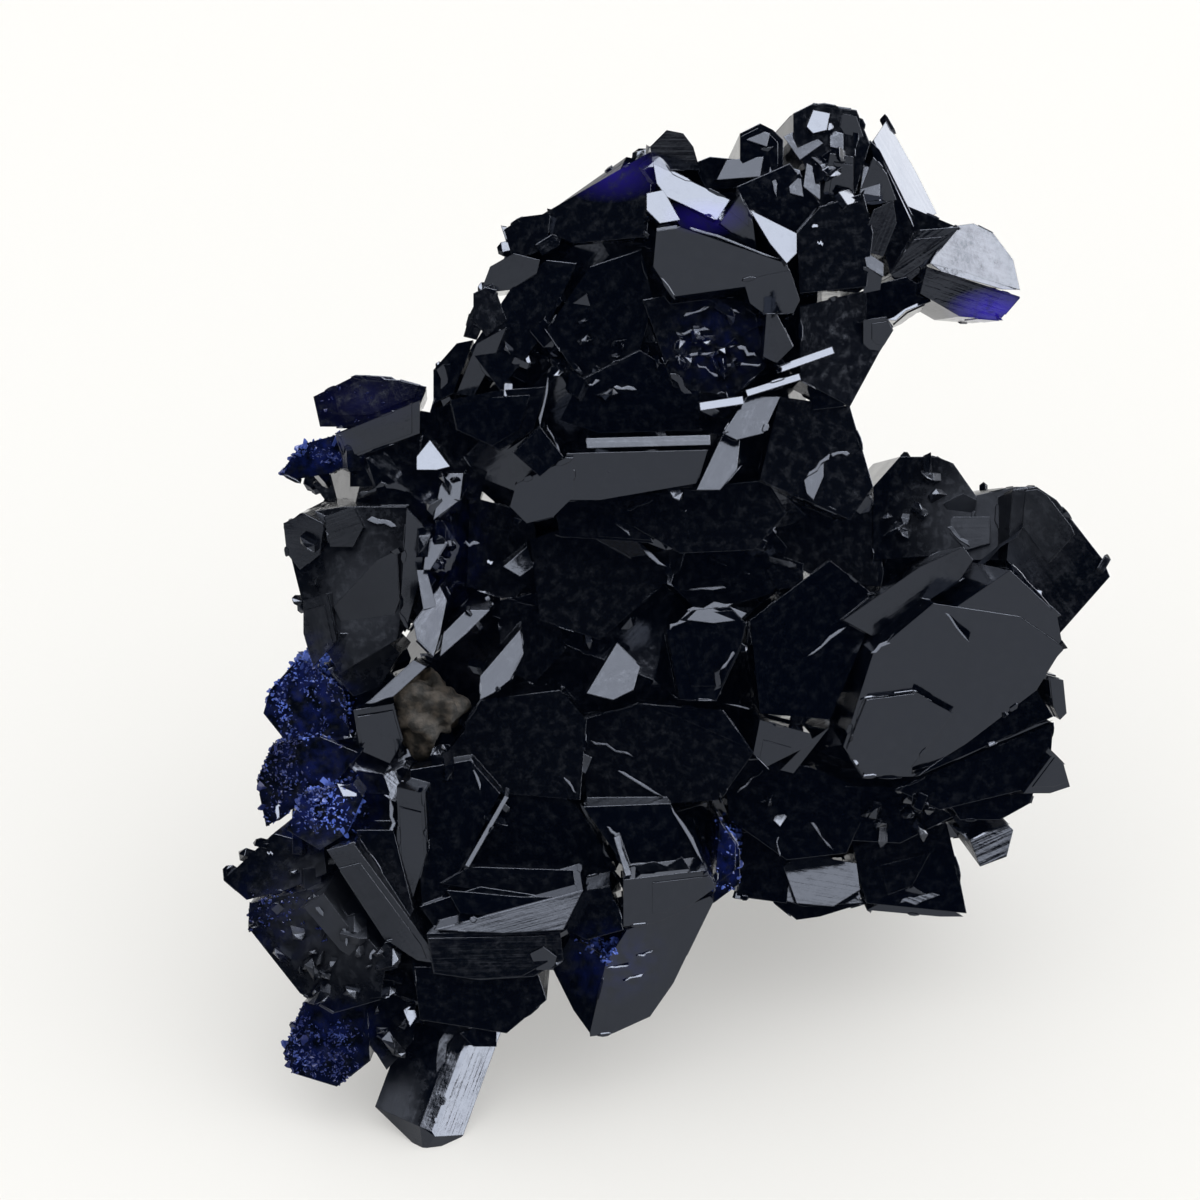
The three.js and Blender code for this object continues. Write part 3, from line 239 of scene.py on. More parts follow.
# Small flat flakes: corners on the sheet in mm, and what the flake faces.
FLAKES = (
    (((6.9, 13.6), (6.9, 14.1), (7.3, 14.0), (7.3, 13.5)), TO_FRONT),
    (((6.1, 12.4), (6.2, 13.1), (6.6, 12.9), (6.6, 12.0)), TO_FRONT),
    (((7.3, 14.6), (7.7, 14.5), (7.9, 13.9), (7.5, 13.7), (7.2, 14.2)), TO_CARD),
    (((7.9, 10.0), (8.5, 9.9), (8.4, 9.3), (7.9, 9.2)), TO_CARD),
    (((-1.4, 8.5), (-0.4, 9.2), (-0.2, 8.5)), TO_CARD),
    (((6.1, 3.7), (6.7, 4.1), (6.7, 3.7), (6.4, 3.0), (6.2, 3.2)), TO_FRONT),
    (((-4.1, 4.3), (-3.9, 4.4), (-3.7, 4.2), (-3.9, 4.0)), TO_OVERHEAD),
    (((-5.5, 0.3), (-5.2, 0.9), (-4.9, 0.6), (-5.3, 0.1)), TO_FRONT),
    (((-7.9, -5.5), (-7.3, -5.6), (-7.3, -5.9), (-7.7, -5.9)), TO_OVERHEAD),
    (((10.3, 2.9), (10.9, 3.2), (11.3, 3.0), (11.2, 2.5), (10.6, 2.4)), TO_CARD),
    (((5.2, -6.6), (5.4, -6.2), (5.6, -6.5), (5.4, -6.8)), TO_OVERHEAD),
    (((-5.9, -12.3), (-5.6, -12.1), (-5.5, -12.5), (-5.7, -12.8)), TO_OVERHEAD),
    (((-2.1, -10.6), (-1.7, -10.4), (-1.3, -10.7), (-1.4, -11.1), (-1.9, -11.1)), TO_CARD),
    (((6.9, -3.8), (6.3, -4.2), (5.4, -5.1), (5.8, -5.2)), TO_CARD),
    (((-3.8, 9.2), (-3.2, 9.5), (-2.8, 8.4), (-3.4, 7.9), (-3.8, 8.4)), TO_DARK),
    (((6.2, 6.4), (6.9, 6.6), (7.6, 6.3), (7.3, 5.8), (6.4, 5.7)), TO_DARK),
    (((5.0, 0.9), (5.5, 1.3), (6.1, 1.1), (6.1, 0.4), (5.3, 0.3)), TO_DARK),
    (((5.5, -8.0), (6.0, -7.6), (7.7, -7.9), (7.8, -8.7), (7.0, -9.2), (5.9, -9.1)), (0.0, 0.24)),
    (((5.5, 13.9), (6.1, 14.2), (6.7, 13.7), (6.0, 13.2)), TO_FRONT),
    (((5.6, 13.0), (6.0, 12.9), (6.1, 12.1), (5.7, 12.2)), TO_FRONT),
    (((2.6, -0.6), (2.9, -0.3), (3.9, -0.2), (4.4, -0.4), (4.2, -0.6), (3.4, -0.7)), (0.0, 0.24)),
    (((3.5, 12.6), (3.8, 13.2), (4.9, 13.3), (4.8, 12.7)), (0.0, 0.22)),
    (((7.8, 12.2), (7.9, 13.0), (8.4, 13.0), (8.4, 12.1)), TO_FRONT),
    (((-5.5, 0.9), (-5.2, 0.9), (-4.9, -0.2), (-5.3, -0.3)), (0.05, 0.27)),
    (((4.4, 13.8), (4.8, 14.1), (5.1, 14.0), (5.0, 13.6)), (0.0, 0.24)),
    (((-5.4, -1.6), (-5.0, -1.6), (-4.8, -2.5), (-5.2, -2.6)), (0.0, 0.24)),
    (((-4.8, -8.5), (-3.9, -8.0), (-0.8, -8.1), (-0.7, -8.8), (-2.4, -8.9)), (0.0, 0.0)),
    (((-4.6, -8.7), (-2.4, -8.9), (-0.8, -8.9), (-1.8, -9.6), (-4.2, -9.4)), (0.0, 0.0)),
    (((10.5, 2.5), (11.7, 2.5), (11.7, 1.7), (11.0, 1.5), (10.5, 2.0)), TO_DARK),
    (((-4.2, -13.0), (-3.7, -12.8), (-3.1, -12.9), (-3.1, -13.4), (-3.8, -13.4)), (0.45, 0.0)),
    (((-7.3, -5.1), (-6.5, -5.2), (-6.3, -5.8), (-7.1, -5.8)), TO_DARK),
)
FLAKE_CLEAR = 0.7  # share of the corners of a flake or an edge that stand clear of what carries it
FLAKE_LIFT = 0.03  # and how far, mm
FLAKE_ROOT = 0.3  # how far it is sunk into it, mm
FLAKE_NARROWING = 0.85  # size of its root over its face

# Growth steps on the large blades.
STEP_LEAST_AREA = 0.5 * MM * MM  # smallest facet that carries a growth step
STEP_CHANCE = 0.45  # share of those facets that carry one
STEP_SIZES = (0.5, 0.9)  # size of a step over its facet's
STEP_CORNER = (0.9, 0.97)  # how far toward one of the facet's corners a step lies
STEP_HEIGHTS = (0.012 * MM, 0.035 * MM)
STEP_TILT = 0.01  # how far a step leans out of its facet
STEP_ROOT = 0.05 * MM
STEP_FLOOR = 0.3 * MM  # what lies lower than this stays plain, so that the feet stand flat
STEP_MIRROR = 0.75  # facets that mirror more than this much of the lights above or at the side stay plain

# Small plates that make the edges of the large blades ragged. They keep the steps' clearance of the floor.
PLATE_COUNT = 1100
PLATE_LEAST_EDGE = 0.4 * MM
PLATE_LEAST_AREA = 0.15 * MM * MM
PLATE_LENGTHS = (0.1 * MM, 0.45 * MM)
PLATE_BREADTHS = (0.03 * MM, 0.1 * MM)
PLATE_HEIGHTS = (0.01 * MM, 0.05 * MM)
PLATE_PLACES = (0.05, 0.95)  # where along its edge a plate may lie
PLATE_ROOT = 0.12 * MM
PLATE_NARROWING = 0.8  # size of its root over its face
PLATE_CORNERS = 6
PLATE_UNEVEN = 0.3  # how far a corner strays round the plate, over the way to the next

# Hollows that are full of small blades: middle and radii on the sheet in mm, and how many.
BLADE_BEDS = (
    ((3.4, 7.6), (1.6, 1.3), 30),
    ((-6.2, -12.2), (0.9, 1.4), 40),
    ((6.9, 13.2), (1.1, 1.5), 30),
    ((-4.6, 2.0), (1.1, 2.4), 40),
    ((8.6, -6.3), (3.4, 0.8), 40),
    ((9.6, 3.2), (1.4, 1.0), 16),
    ((-0.6, 7.6), (2.2, 1.6), 40),
    ((-7.6, -10.2), (1.6, 1.6), 18),
    ((-5.0, -4.0), (1.4, 1.6), 30),
    ((-9.6, -8.2), (1.2, 1.6), 12),
    ((-9.2, -11.0), (1.2, 1.6), 12),
    ((-8.8, 1.4), (1.0, 1.6), 10),
)
BACK_BLADES = 260  # and how many grow out of sight
BACK_LOWEST = -11.0  # lowest place of those on the sheet, mm
BLADE_SPREAD = 0.35  # how far a small blade leans from straight out
BLADE_LENGTHS = (0.5, 1.3)  # over the usual one
BLADE_WIDTHS = (0.8, 1.8)  # over the length
BLADE_FLATNESS = (0.4, 0.9)  # thickness over the width

# Blue crusts: middle and radii on the sheet in mm, how many crystals, and how bright the blue is.
CRUST_BEDS = (
    ((-8.9, -3.1), (1.7, 2.1), 1700, 0.75),
    ((-8.2, -6.1), (1.4, 1.2), 1100, 1.5),
    ((-8.8, 4.6), (1.2, 0.8), 550, 0.6),
    ((-7.4, 6.1), (1.8, 0.9), 160, 0.02),
    ((-9.8, -5.2), (0.9, 1.5), 450, 0.15),
    ((-8.5, -13.6), (1.7, 1.6), 1100, 0.22),
    ((-9.8, -9.4), (1.2, 1.2), 250, 0.15),
    ((3.9, -7.7), (0.6, 1.3), 400, 1.2),
    ((0.2, -10.7), (1.0, 0.8), 240, 0.6),
)
CRUST_DRAWN = 5  # points drawn for each one that is kept
CRUST_WAVES = 12  # waves in each of a crust's two patterns
CRUST_WAVE = 1.7 * MM  # length of those waves
CRUST_BREAKS = 1.8  # how much the first pattern breaks a crust up
CRUST_KEEP = (0.1, 0.9)  # the bar that a point has to pass, at its lowest and its highest
CRUST_BLOTCHES = (0.6, 2.6)  # middle and depth of the second pattern, which shades the blue
CRUST_SHADES = (0.25, 1.4)  # darkest and brightest of it
CRUST_SPREAD = 0.55  # how far a crystal leans from straight out
CRUST_SIZES = (0.4, 2.0)  # smallest and largest crystal of a crust over the usual one
CRUST_WIDTH = 0.6  # width of the usual one over its length
CRUST_LENGTHS = (0.5, 1.1)  # length of a crystal over its width
CRUST_FLATNESS = (0.4, 0.8)  # thickness over the width
CRUST_ROOT = 0.3  # how far a crystal is sunk into what carries it, over its width
CRUST_SPIKES = (0.02, 0.12)  # share of its crystals that are spikes, on a crust's face and on its rim
SPIKE_SIZE = (2.6, 1.7)  # their length and width over the others'
CRUST_TINTS = (0.7, 1.3)  # how much the blue differs from crystal to crystal
BED_FACING = -0.3  # beds reach round to what faces away from the viewer by this much
RIM_FACING = 0.35  # what faces the viewer less than this is a rim
RIM_SHARE = 1.5  # how much more grows on a rim
ALL_BUT_NOTHING = 1e-12
TINY_AREA = 1e-15

# A small blade's rings: shares of the length, of the breadth and of the thickness, and its slanting profile.
RING_SHARES = np.array([-0.7, 0.62, 1.0])
RING_BREADTH = np.array([1.0, 1.0, 0.45])
RING_THICKNESS = np.array([1.0, 1.0, 0.08])
PROFILE = np.array([[0.5, 0.1], [0.2, 0.5], [-0.5, -0.1], [-0.2, -0.5]])
STEEP = 0.9  # an axis steeper than this takes its side from the part's x axis

# The limonite's lumps.
STONE_AROUND = 96
STONE_RINGS = 48
STONE_WAVES = np.linspace(2.5, 9.0, 24)  # waves on it, in radians over its half size
STONE_TURN = 6.3  # largest phase of a wave, about a full turn
STONE_FILL = 1.05  # size of the plain oval over the box
STONE_SWELL = 0.2  # depth of the lumps

# The large blades: how close corners are merged, and how flat a facet has to be to be one face.
MERGE_DISTANCE = 0.0005 * MM
FLAT_ANGLE = math.radians(0.5)


def linear(colour):
    """Linear RGBA from an sRGB hex value: each channel to the power 2.4 above the straight foot of the
    curve."""
    channels = np.array([int(colour[i : i + 2], 16) for i in (1, 3, 5)]) / 255.0
    values = np.where(channels <= 0.04045, channels / 12.92, ((channels + 0.055) / 1.055) ** 2.4)
    return (*values.tolist(), 1.0)


def on_sheet(points):
    """Points of the part as (right, up, toward) in mm, right and up where the viewer sees them on the
    sheet."""
    rel = (points - SHEET_CENTRE) / MM
    toward = rel @ TOWARD
    share = 1.0 - toward / (VIEW_DISTANCE / MM)
    return np.stack([rel @ RIGHT / share, rel @ UP / share, toward], axis=-1)


def off_sheet(places):
    """The reverse: the points of the part that the viewer sees at (right, up, toward) in mm."""
    places = np.asarray(places, float)
    share = 1.0 - places[..., 2:3] / (VIEW_DISTANCE / MM)
    aside = places[..., 0:1] * share * RIGHT + places[..., 1:2] * share * UP
    return SHEET_CENTRE + (aside + places[..., 2:3] * TOWARD) * MM


def node(tree, kind, links=(), values=(), **settings):
    """Adds a node, sets its properties and the sockets given by name, then (socket, value) pairs, and links
    (source socket, input) pairs."""
    made = tree.nodes.new(kind)
    for key, value in settings.items():
        if hasattr(made, key):
            setattr(made, key, value)
        else:
            made.inputs[key.replace("_", " ")].default_value = value
    for target, value in values:
        made.inputs[target].default_value = value
    for source, target in links:
        tree.links.new(source, made.inputs[target])
    return made


def material(name):
    """An empty node material with its Principled shader already joined to the output."""
    made = bpy.data.materials.new(name)
    made.use_nodes = True
    tree = made.node_tree
    return made, tree, tree.nodes["Principled BSDF"]


def mesh_object(name, points, faces, finish):
    """A mesh object at the origin from arrays of points and faces, riding on the part's one body."""
    mesh = bpy.data.meshes.new(name)
    mesh.from_pydata(points.reshape(-1, 3), [], faces)
    mesh.update()
    made = bpy.data.objects.new(name, mesh)
    bpy.context.scene.collection.objects.link(made)
    made.data.materials.append(finish)
    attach(made, "root")
    return made


def glassy(name, points, faces, settings):
    """A piece with the blades' finish and the facet values that it needs."""
    piece = mesh_object(name, points, faces, bpy.data.materials["azurite_glassy_blades"])
    facet_map(piece.data)
    tones(piece.data, settings)


# Finishes


def spots_mask(tree, place, spots):
    """The sum of oval spots, cut at one, as a socket: each is its strength at its middle and nothing at
    its rim."""
    middles = np.array([centre for centre, radii, strength in spots])
    points = off_sheet(np.column_stack([middles, seat(middles)]))
    before = []
    for (centre, radii, strength), point in zip(spots, points):
        local = node(
            tree,
            "ShaderNodeMapping",
            [(place.outputs["Object"], "Vector")],
            vector_type="TEXTURE",
            Location=point,
            Rotation=SHEET_TURN,
            Scale=(radii[0] * MM, radii[1] * MM, SPOT_DEPTH),
        )
        ball = node(
            tree, "ShaderNodeTexGradient", [(local.outputs["Vector"], "Vector")], gradient_type="SPHERICAL"
        )
        summed = node(
            tree,
            "ShaderNodeMath",
            [(ball.outputs["Fac"], 0), *before],
            [(1, strength), (2, 0.0)],
            operation="MULTIPLY_ADD",
            use_clamp=True,
        )
        before = [(summed.outputs["Value"], 2)]
    return summed.outputs["Value"]


def azurite_blades(settings):
    """Azurite, grown as glassy blades: almost black with a high, slightly blue gloss and bright worn edges,
    duller in pitted patches, with a painted violet glow where light would pass through a thin blade, and
    blue where a crust stains it."""
    made, tree, shader = material("azurite_glassy_blades")
    place = node(tree, "ShaderNodeTexCoord")
    uv = node(tree, "ShaderNodeUVMap", uv_map="facet")
    tone = node(tree, "ShaderNodeAttribute", attribute_name="tone")
    on_part = [(place.outputs["Object"], "Vector")]
    on_facet = [(uv.outputs["UV"], "Vector")]
    # The stain of the crusts is patchy.
    patchy = node(tree, "ShaderNodeTexNoise", on_part, Scale=1.0 / (STAIN_SPAN * MM), Detail=3.0)
    patches = node(
        tree, "ShaderNodeMapRange", [(patchy.outputs["Fac"], "Value")], From_Min=0.38, From_Max=0.68
    )
    stained = node(
        tree,
        "ShaderNodeMath",
        [(patches.outputs["Result"], 0), (spots_mask(tree, place, STAINED_SPOTS), 1)],
        operation="MULTIPLY",
    )
    # Painted light: the violet that light passing through thin blades would show, mixed into the base colour
    # as a glow.
    thin = node(
        tree,
        "ShaderNodeMix",
        [(spots_mask(tree, place, PAINTED_GLOW_SPOTS), MIX_SHARE)],
        [(MIX_FROM, (*settings.blade_colour, 1.0)), (MIX_TO, (*settings.painted_glow_colour, 1.0))],
        data_type="RGBA",
    )
    colour = node(
        tree,
        "ShaderNodeMix",
        [(stained.outputs["Value"], MIX_SHARE), (thin.outputs[MIXED], MIX_FROM)],
        [(MIX_TO, (*settings.crust_dark, 1.0))],
        data_type="RGBA",
    )
    # Pitted patches are duller and hold a little dust.
    pits = node(tree, "ShaderNodeTexNoise", on_facet, Scale=1.0 / PIT_SPAN, Detail=6.0, Roughness=0.7)
    pitted = node(
        tree, "ShaderNodeMapRange", [(pits.outputs["Fac"], "Value")], From_Min=0.48, From_Max=0.85
    )
    dusted = node(
        tree,
        "ShaderNodeMix",
        [(pitted.outputs["Result"], MIX_SHARE), (colour.outputs[MIXED], MIX_FROM)],
        [(MIX_TO, linear("#161920"))],
        data_type="RGBA",
    )
    best, least = POLISH
    polish = node(tree, "ShaderNodeMapRange", [(tone.outputs["Fac"], "Value")], To_Min=best, To_Max=least)
    rough = node(
        tree,
        "ShaderNodeMath",
        [(pitted.outputs["Result"], 0), (polish.outputs["Result"], 2)],
        [(1, PIT_DULLING)],
        operation="MULTIPLY_ADD",
    )
    # Some parts of the cluster are weathered dull.
    weathered = node(
        tree,
        "ShaderNodeMath",
        [(spots_mask(tree, place, DULL_SPOTS), 0), (rough.outputs["Value"], 2)],
        [(1, WEATHER_DULLING)],
        operation="MULTIPLY_ADD",
    )
    # The edges are rounded a little and catch the light.
    normal = node(tree, "ShaderNodeBevel", samples=4, Radius=settings.edge_radius).outputs["Normal"]
    # Facets are never quite flat: they swell and sink gently, growth lines run along them, and fine pits and
    # dust lie all over.
    for length, span, detail, strength, depth in (
        (SWELL_SPAN, SWELL_SPAN, 1.0, settings.swell_strength, SWELL_DEPTH),
        (LINE_LENGTH, LINE_SPAN, 2.0, settings.line_strength, LINE_DEPTH),
        (GRAIN_SPAN, GRAIN_SPAN, 3.0, settings.grain_strength, GRAIN_DEPTH),
    ):
        stretched = node(tree, "ShaderNodeMapping", on_facet, Scale=(1.0 / length, 1.0 / span, 1.0))
        relief = node(
            tree, "ShaderNodeTexNoise", [(stretched.outputs["Vector"], "Vector")], Scale=1.0, Detail=detail
        )
        bump = node(
            tree,
            "ShaderNodeBump",
            [(relief.outputs["Fac"], "Height"), (normal, "Normal")],
            Strength=strength,
            Distance=depth * MM,
        )
        normal = bump.outputs["Normal"]
    tree.links.new(dusted.outputs[MIXED], shader.inputs["Base Color"])
    tree.links.new(weathered.outputs["Value"], shader.inputs["Roughness"])
    tree.links.new(normal, shader.inputs["Normal"])
    shader.inputs["IOR"].default_value = BLADE_IOR
    shader.inputs["Specular Tint"].default_value = linear("#e2ebff")
    return made


def azurite_crust(settings):
    """Azurite, grown as a crust of fine crystals: thin enough to show its blue, with bright points of
    gloss."""
    made, tree, shader = material("azurite_fine_crust")
    tint = node(tree, "ShaderNodeAttribute", attribute_name="tint")
    colour = node(
        tree,
        "ShaderNodeMix",
        [(tint.outputs["Fac"], MIX_SHARE)],
        [(MIX_FROM, (*settings.crust_dark, 1.0)), (MIX_TO, (*settings.crust_bright, 1.0))],
        data_type="RGBA",
    )
    tree.links.new(colour.outputs[MIXED], shader.inputs["Base Color"])
    shader.inputs["Roughness"].default_value = 0.35
    shader.inputs["Specular IOR Level"].default_value = 0.3
    return made


def limonite_earth(settings):
    """Limonite, an earthy iron oxide: dull, brown with ochre and dark grains."""
    made, tree, shader = material("limonite_earthy")
    place = node(tree, "ShaderNodeTexCoord")
    grains = node(
        tree,
        "ShaderNodeTexNoise",
        [(place.outputs["Object"], "Vector")],
        Scale=1.0 / (EARTH_SPAN * MM),
        Detail=4.0,
    )
    colour = node(tree, "ShaderNodeValToRGB", [(grains.outputs["Fac"], "Fac")])
    dark, ochre = colour.color_ramp.elements
    dark.position, dark.color = 0.42, linear("#14120f")
    ochre.position, ochre.color = 0.72, (*settings.limonite_colour, 1.0)
    bump = node(
        tree, "ShaderNodeBump", [(grains.outputs["Fac"], "Height")], Strength=0.9, Distance=EARTH_DEPTH * MM
    )
    tree.links.new(colour.outputs["Color"], shader.inputs["Base Color"])
    tree.links.new(bump.outputs["Normal"], shader.inputs["Normal"])
    shader.inputs["Roughness"].default_value = 0.85
    return made


def white_paper(settings):
    """Matte white card: even and pale, with no gloss."""
    made, tree, shader = material("card_matte_white")
    shader.inputs["Base Color"].default_value = (*settings.paper_colour, 1.0)
    shader.inputs["Roughness"].default_value = 0.9
    shader.inputs["Specular IOR Level"].default_value = 0.1
    return made


# The cluster's surface


def cluster_triangles():
    """The CAD cluster's triangles as an array of corners, with each one's normal and area."""
    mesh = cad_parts["azurite_crystals"].data
    points = np.empty(len(mesh.vertices) * 3, np.float32)
    mesh.vertices.foreach_get("co", points)
    mesh.calc_loop_triangles()
    corners = np.empty(len(mesh.loop_triangles) * 3, np.int32)
    mesh.loop_triangles.foreach_get("vertices", corners)
    triangles = points.reshape(-1, 3).astype(float)[corners].reshape(-1, 3, 3)
    cross = np.cross(triangles[:, 1] - triangles[:, 0], triangles[:, 2] - triangles[:, 0])
    length = np.linalg.norm(cross, axis=1)
    return triangles, cross / np.maximum(length, TINY_AREA)[:, None], length / 2.0


def seat(places):
    """Depth toward the viewer, in mm, of the cluster's surface at places (right, up) of the sheet: of the
    triangles that each sight line crosses, the nearest. A place beside the cluster gets minus infinity."""
    corner = on_sheet(cluster_triangles()[0])
    flat = corner[:, :, :2]
    nearness = 1.0 / (VIEW_DISTANCE / MM - corner[:, :, 2])
    first, second = flat[:, 1] - flat[:, 0], flat[:, 2] - flat[:, 0]
    spread = first[:, 0] * second[:, 1] - first[:, 1] * second[:, 0]
    spread = np.where(np.abs(spread) < ALL_BUT_NOTHING, np.inf, spread)
    away = np.asarray(places, float)[:, None, :] - flat[None, :, 0]
    one = (away[..., 0] * second[:, 1] - away[..., 1] * second[:, 0]) / spread
    two = (first[:, 0] * away[..., 1] - first[:, 1] * away[..., 0]) / spread
    inside = (one >= 0.0) & (two >= 0.0) & (one + two <= 1.0) & np.isfinite(spread)
    nearest = (1.0 - one - two) * nearness[:, 0] + one * nearness[:, 1] + two * nearness[:, 2]
    return np.where(inside, VIEW_DISTANCE / MM - 1.0 / nearest, -np.inf).max(axis=1)


def scatter(count, rng, weight):
    """Random points on the cluster and their normals: a triangle by its area times its weight, then even
    shares of its corners."""
    triangles, normals, areas = cluster_triangles()
    chance = areas * weight(on_sheet(triangles.mean(axis=1)), normals)
    picked = rng.choice(len(triangles), size=count, p=chance / chance.sum())
    first, second = rng.random(count), rng.random(count)
    turned = first + second > 1.0
    first, second = np.where(turned, 1.0 - first, first), np.where(turned, 1.0 - second, second)
    corner = triangles[picked]
    points = (
        corner[:, 0]
        + first[:, None] * (corner[:, 1] - corner[:, 0])
        + second[:, None] * (corner[:, 2] - corner[:, 0])
    )
    return points, normals[picked]


def near(places, centre, radii):
    """One at the middle of an oval of the sheet and nothing at its rim and past it: 1 - (distance over
    radius) squared, cut at 0."""
    distance = ((places[:, 0] - centre[0]) / radii[0]) ** 2 + ((places[:, 1] - centre[1]) / radii[1]) ** 2
    return np.clip(1.0 - distance, 0.0, 1.0)


def out_of_sight(places, normals):
    """One on the back and the underside, apart from what is low on the sheet, and all but nothing
    elsewhere."""
    return ((normals @ TOWARD < 0.0) & (places[:, 1] > BACK_LOWEST)) + ALL_BUT_NOTHING


def bed_points(bed, count, rng):
    """Points and normals on the seen side of the cluster inside one oval bed of the sheet, more on its
    rims."""

    def weight(places, normals):
        facing = normals @ TOWARD
        more = np.where(facing < RIM_FACING, RIM_SHARE, 1.0)
        return near(places, *bed) * (facing > BED_FACING) * more + ALL_BUT_NOTHING

    return scatter(count, rng, weight)


def crust_points(bed, count, bright, rng):
    """Points and normals of a crust, and how bright each is: drawn from its bed, and kept where nearness
    to the middle and one pattern of waves leave room, so that it is broken up; a second pattern makes it
    blotchy."""
    points, normals = bed_points(bed, CRUST_DRAWN * count, rng)
    waves = rng.normal(size=(2 * CRUST_WAVES, 3)) * (2.0 * math.pi / CRUST_WAVE)
    sines = np.sin(points @ waves.T + rng.uniform(0.0, 2.0 * math.pi, 2 * CRUST_WAVES))
    inside = near(on_sheet(points), *bed) + CRUST_BREAKS * sines[:, :CRUST_WAVES].mean(axis=1)
    kept = np.flatnonzero(inside > rng.uniform(*CRUST_KEEP, len(points)))[:count]
    middle, depth = CRUST_BLOTCHES
    blotches = middle + depth * sines[kept, CRUST_WAVES:].mean(axis=1)
    dimmed = np.clip(inside[kept], 0.0, 1.0) * np.clip(blotches, *CRUST_SHADES)
    return points[kept], normals[kept], bright * dimmed


# Facets of a mesh


def facet_arrays(mesh):
    """A mesh's facets as arrays: the vertices at their corners, each facet's first corner and how many it
    has, then the mesh's points, and each facet's normal and area."""
    vertex = np.empty(len(mesh.loops), np.int32)
    mesh.loops.foreach_get("vertex_index", vertex)
    start, total = np.empty(len(mesh.polygons), np.int32), np.empty(len(mesh.polygons), np.int32)
    mesh.polygons.foreach_get("loop_start", start)
    mesh.polygons.foreach_get("loop_total", total)
    normals = np.empty(len(mesh.polygons) * 3, np.float32)
    mesh.polygons.foreach_get("normal", normals)
    areas = np.empty(len(mesh.polygons), np.float32)
    mesh.polygons.foreach_get("area", areas)
    points = np.empty(len(mesh.vertices) * 3, np.float32)
    mesh.vertices.foreach_get("co", points)
    points, normals = (values.reshape(-1, 3).astype(float) for values in (points, normals))
    return vertex, start, total, points, normals, areas


def facet_edges(vertex, start, total, points):
    """For each corner of the facets: the facet it belongs to, the corner after it, and the edge between
    them as a vector and a length."""
    owner = np.repeat(np.arange(len(total)), total)
    following = start[owner] + (np.arange(len(vertex)) - start[owner] + 1) % total[owner]
    edge = points[vertex[following]] - points[vertex]
    return owner, following, edge, np.linalg.norm(edge, axis=1)


def facet_map(mesh):
    """UVs in mm on every facet: the first runs along the facet's longest edge, the second across it."""
    vertex, start, total, points, normals, areas = facet_arrays(mesh)
    points = points / MM
    owner, following, edge, length = facet_edges(vertex, start, total, points)
    longest = np.lexsort((length, owner))[np.cumsum(total) - 1]
    along = edge[longest] / np.maximum(length[longest], ALL_BUT_NOTHING)[:, None]
    across = np.cross(normals, along)
    place = points[vertex]
    uv = np.stack([(place * along[owner]).sum(1), (place * across[owner]).sum(1)], axis=1)
    layer = mesh.uv_layers.new(name="facet")
    layer.uv.foreach_set("vector", uv.astype(np.float32).ravel())


def tones(mesh, settings):
    """A value of its own for each facet, from 0 to 1."""
    rng = np.random.default_rng(settings.seed)
    values = rng.random(len(mesh.polygons)).astype(np.float32)
    mesh.attributes.new("tone", "FLOAT", "FACE").data.foreach_set("value", values)


# Shapes


def crystals(roots, axes, turns, lengths, widths, flatness):
    """Points and faces of many blades. Each is a slanting four-cornered profile carried along its axis:
    ring i lies at a share of the length, its corners are the profile times the width, and the last ring
    is pinched to an edge. Walls and ends are all four-cornered."""
    axes = axes / np.linalg.norm(axes, axis=1, keepdims=True)
    other = np.where(np.abs(axes[:, 2:3]) < STEEP, [[0.0, 0.0, 1.0]], [[1.0, 0.0, 0.0]])
    side = np.cross(other, axes)
    side /= np.linalg.norm(side, axis=1, keepdims=True)
    flat = np.cross(axes, side)
    cos, sin = np.cos(turns)[:, None], np.sin(turns)[:, None]
    side, flat = side * cos + flat * sin, flat * cos - side * sin
    thicknesses = widths * flatness
    along = RING_SHARES[None, :, None] * lengths[:, None, None]
    across = PROFILE[None, None, :, 0] * RING_BREADTH[None, :, None] * widths[:, None, None]
    through = PROFILE[None, None, :, 1] * RING_THICKNESS[None, :, None] * thicknesses[:, None, None]
    points = (
        roots[:, None, None, :]
        + along[..., None] * axes[:, None, None, :]
        + across[..., None] * side[:, None, None, :]
        + through[..., None] * flat[:, None, None, :]
    )
    rings, corners = len(RING_SHARES), len(PROFILE)
    ring, corner = np.meshgrid(np.arange(rings - 1), np.arange(corners), indexing="ij")
    low, high, following = ring * corners, (ring + 1) * corners, (corner + 1) % corners
    walls = np.stack([low + corner, low + following, high + following, high + corner], axis=-1)
    bottom, top = np.arange(corners)[::-1], (rings - 1) * corners + np.arange(corners)
    single = np.concatenate([walls.reshape(-1, 4), [bottom], [top]])
    faces = single[None] + rings * corners * np.arange(len(roots))[:, None, None]
    return points, faces.reshape(-1, 4)


def ridge_outline(start, end, breadth, rng):
    """The corners of a thin blade's ragged edge: stations along the line that wander a little to the
    side, each with its two sides at uneven distances, and a tip at both ends."""
    start, end = np.array(start), np.array(end)
    along = end - start
    side = np.array([-along[1], along[0]]) * (breadth / np.linalg.norm(along))
    wander = rng.uniform(-RIDGE_WANDER, RIDGE_WANDER, len(RIDGE_SHARES))
    left = wander + rng.uniform(*RIDGE_SIDES, len(RIDGE_SHARES))
    right = wander - rng.uniform(*RIDGE_SIDES, len(RIDGE_SHARES))
    middle = start + RIDGE_SHARES[:, None] * along
    back = (middle + right[:, None] * side)[::-1]
    return np.concatenate([[start], middle + left[:, None] * side, [end], back])


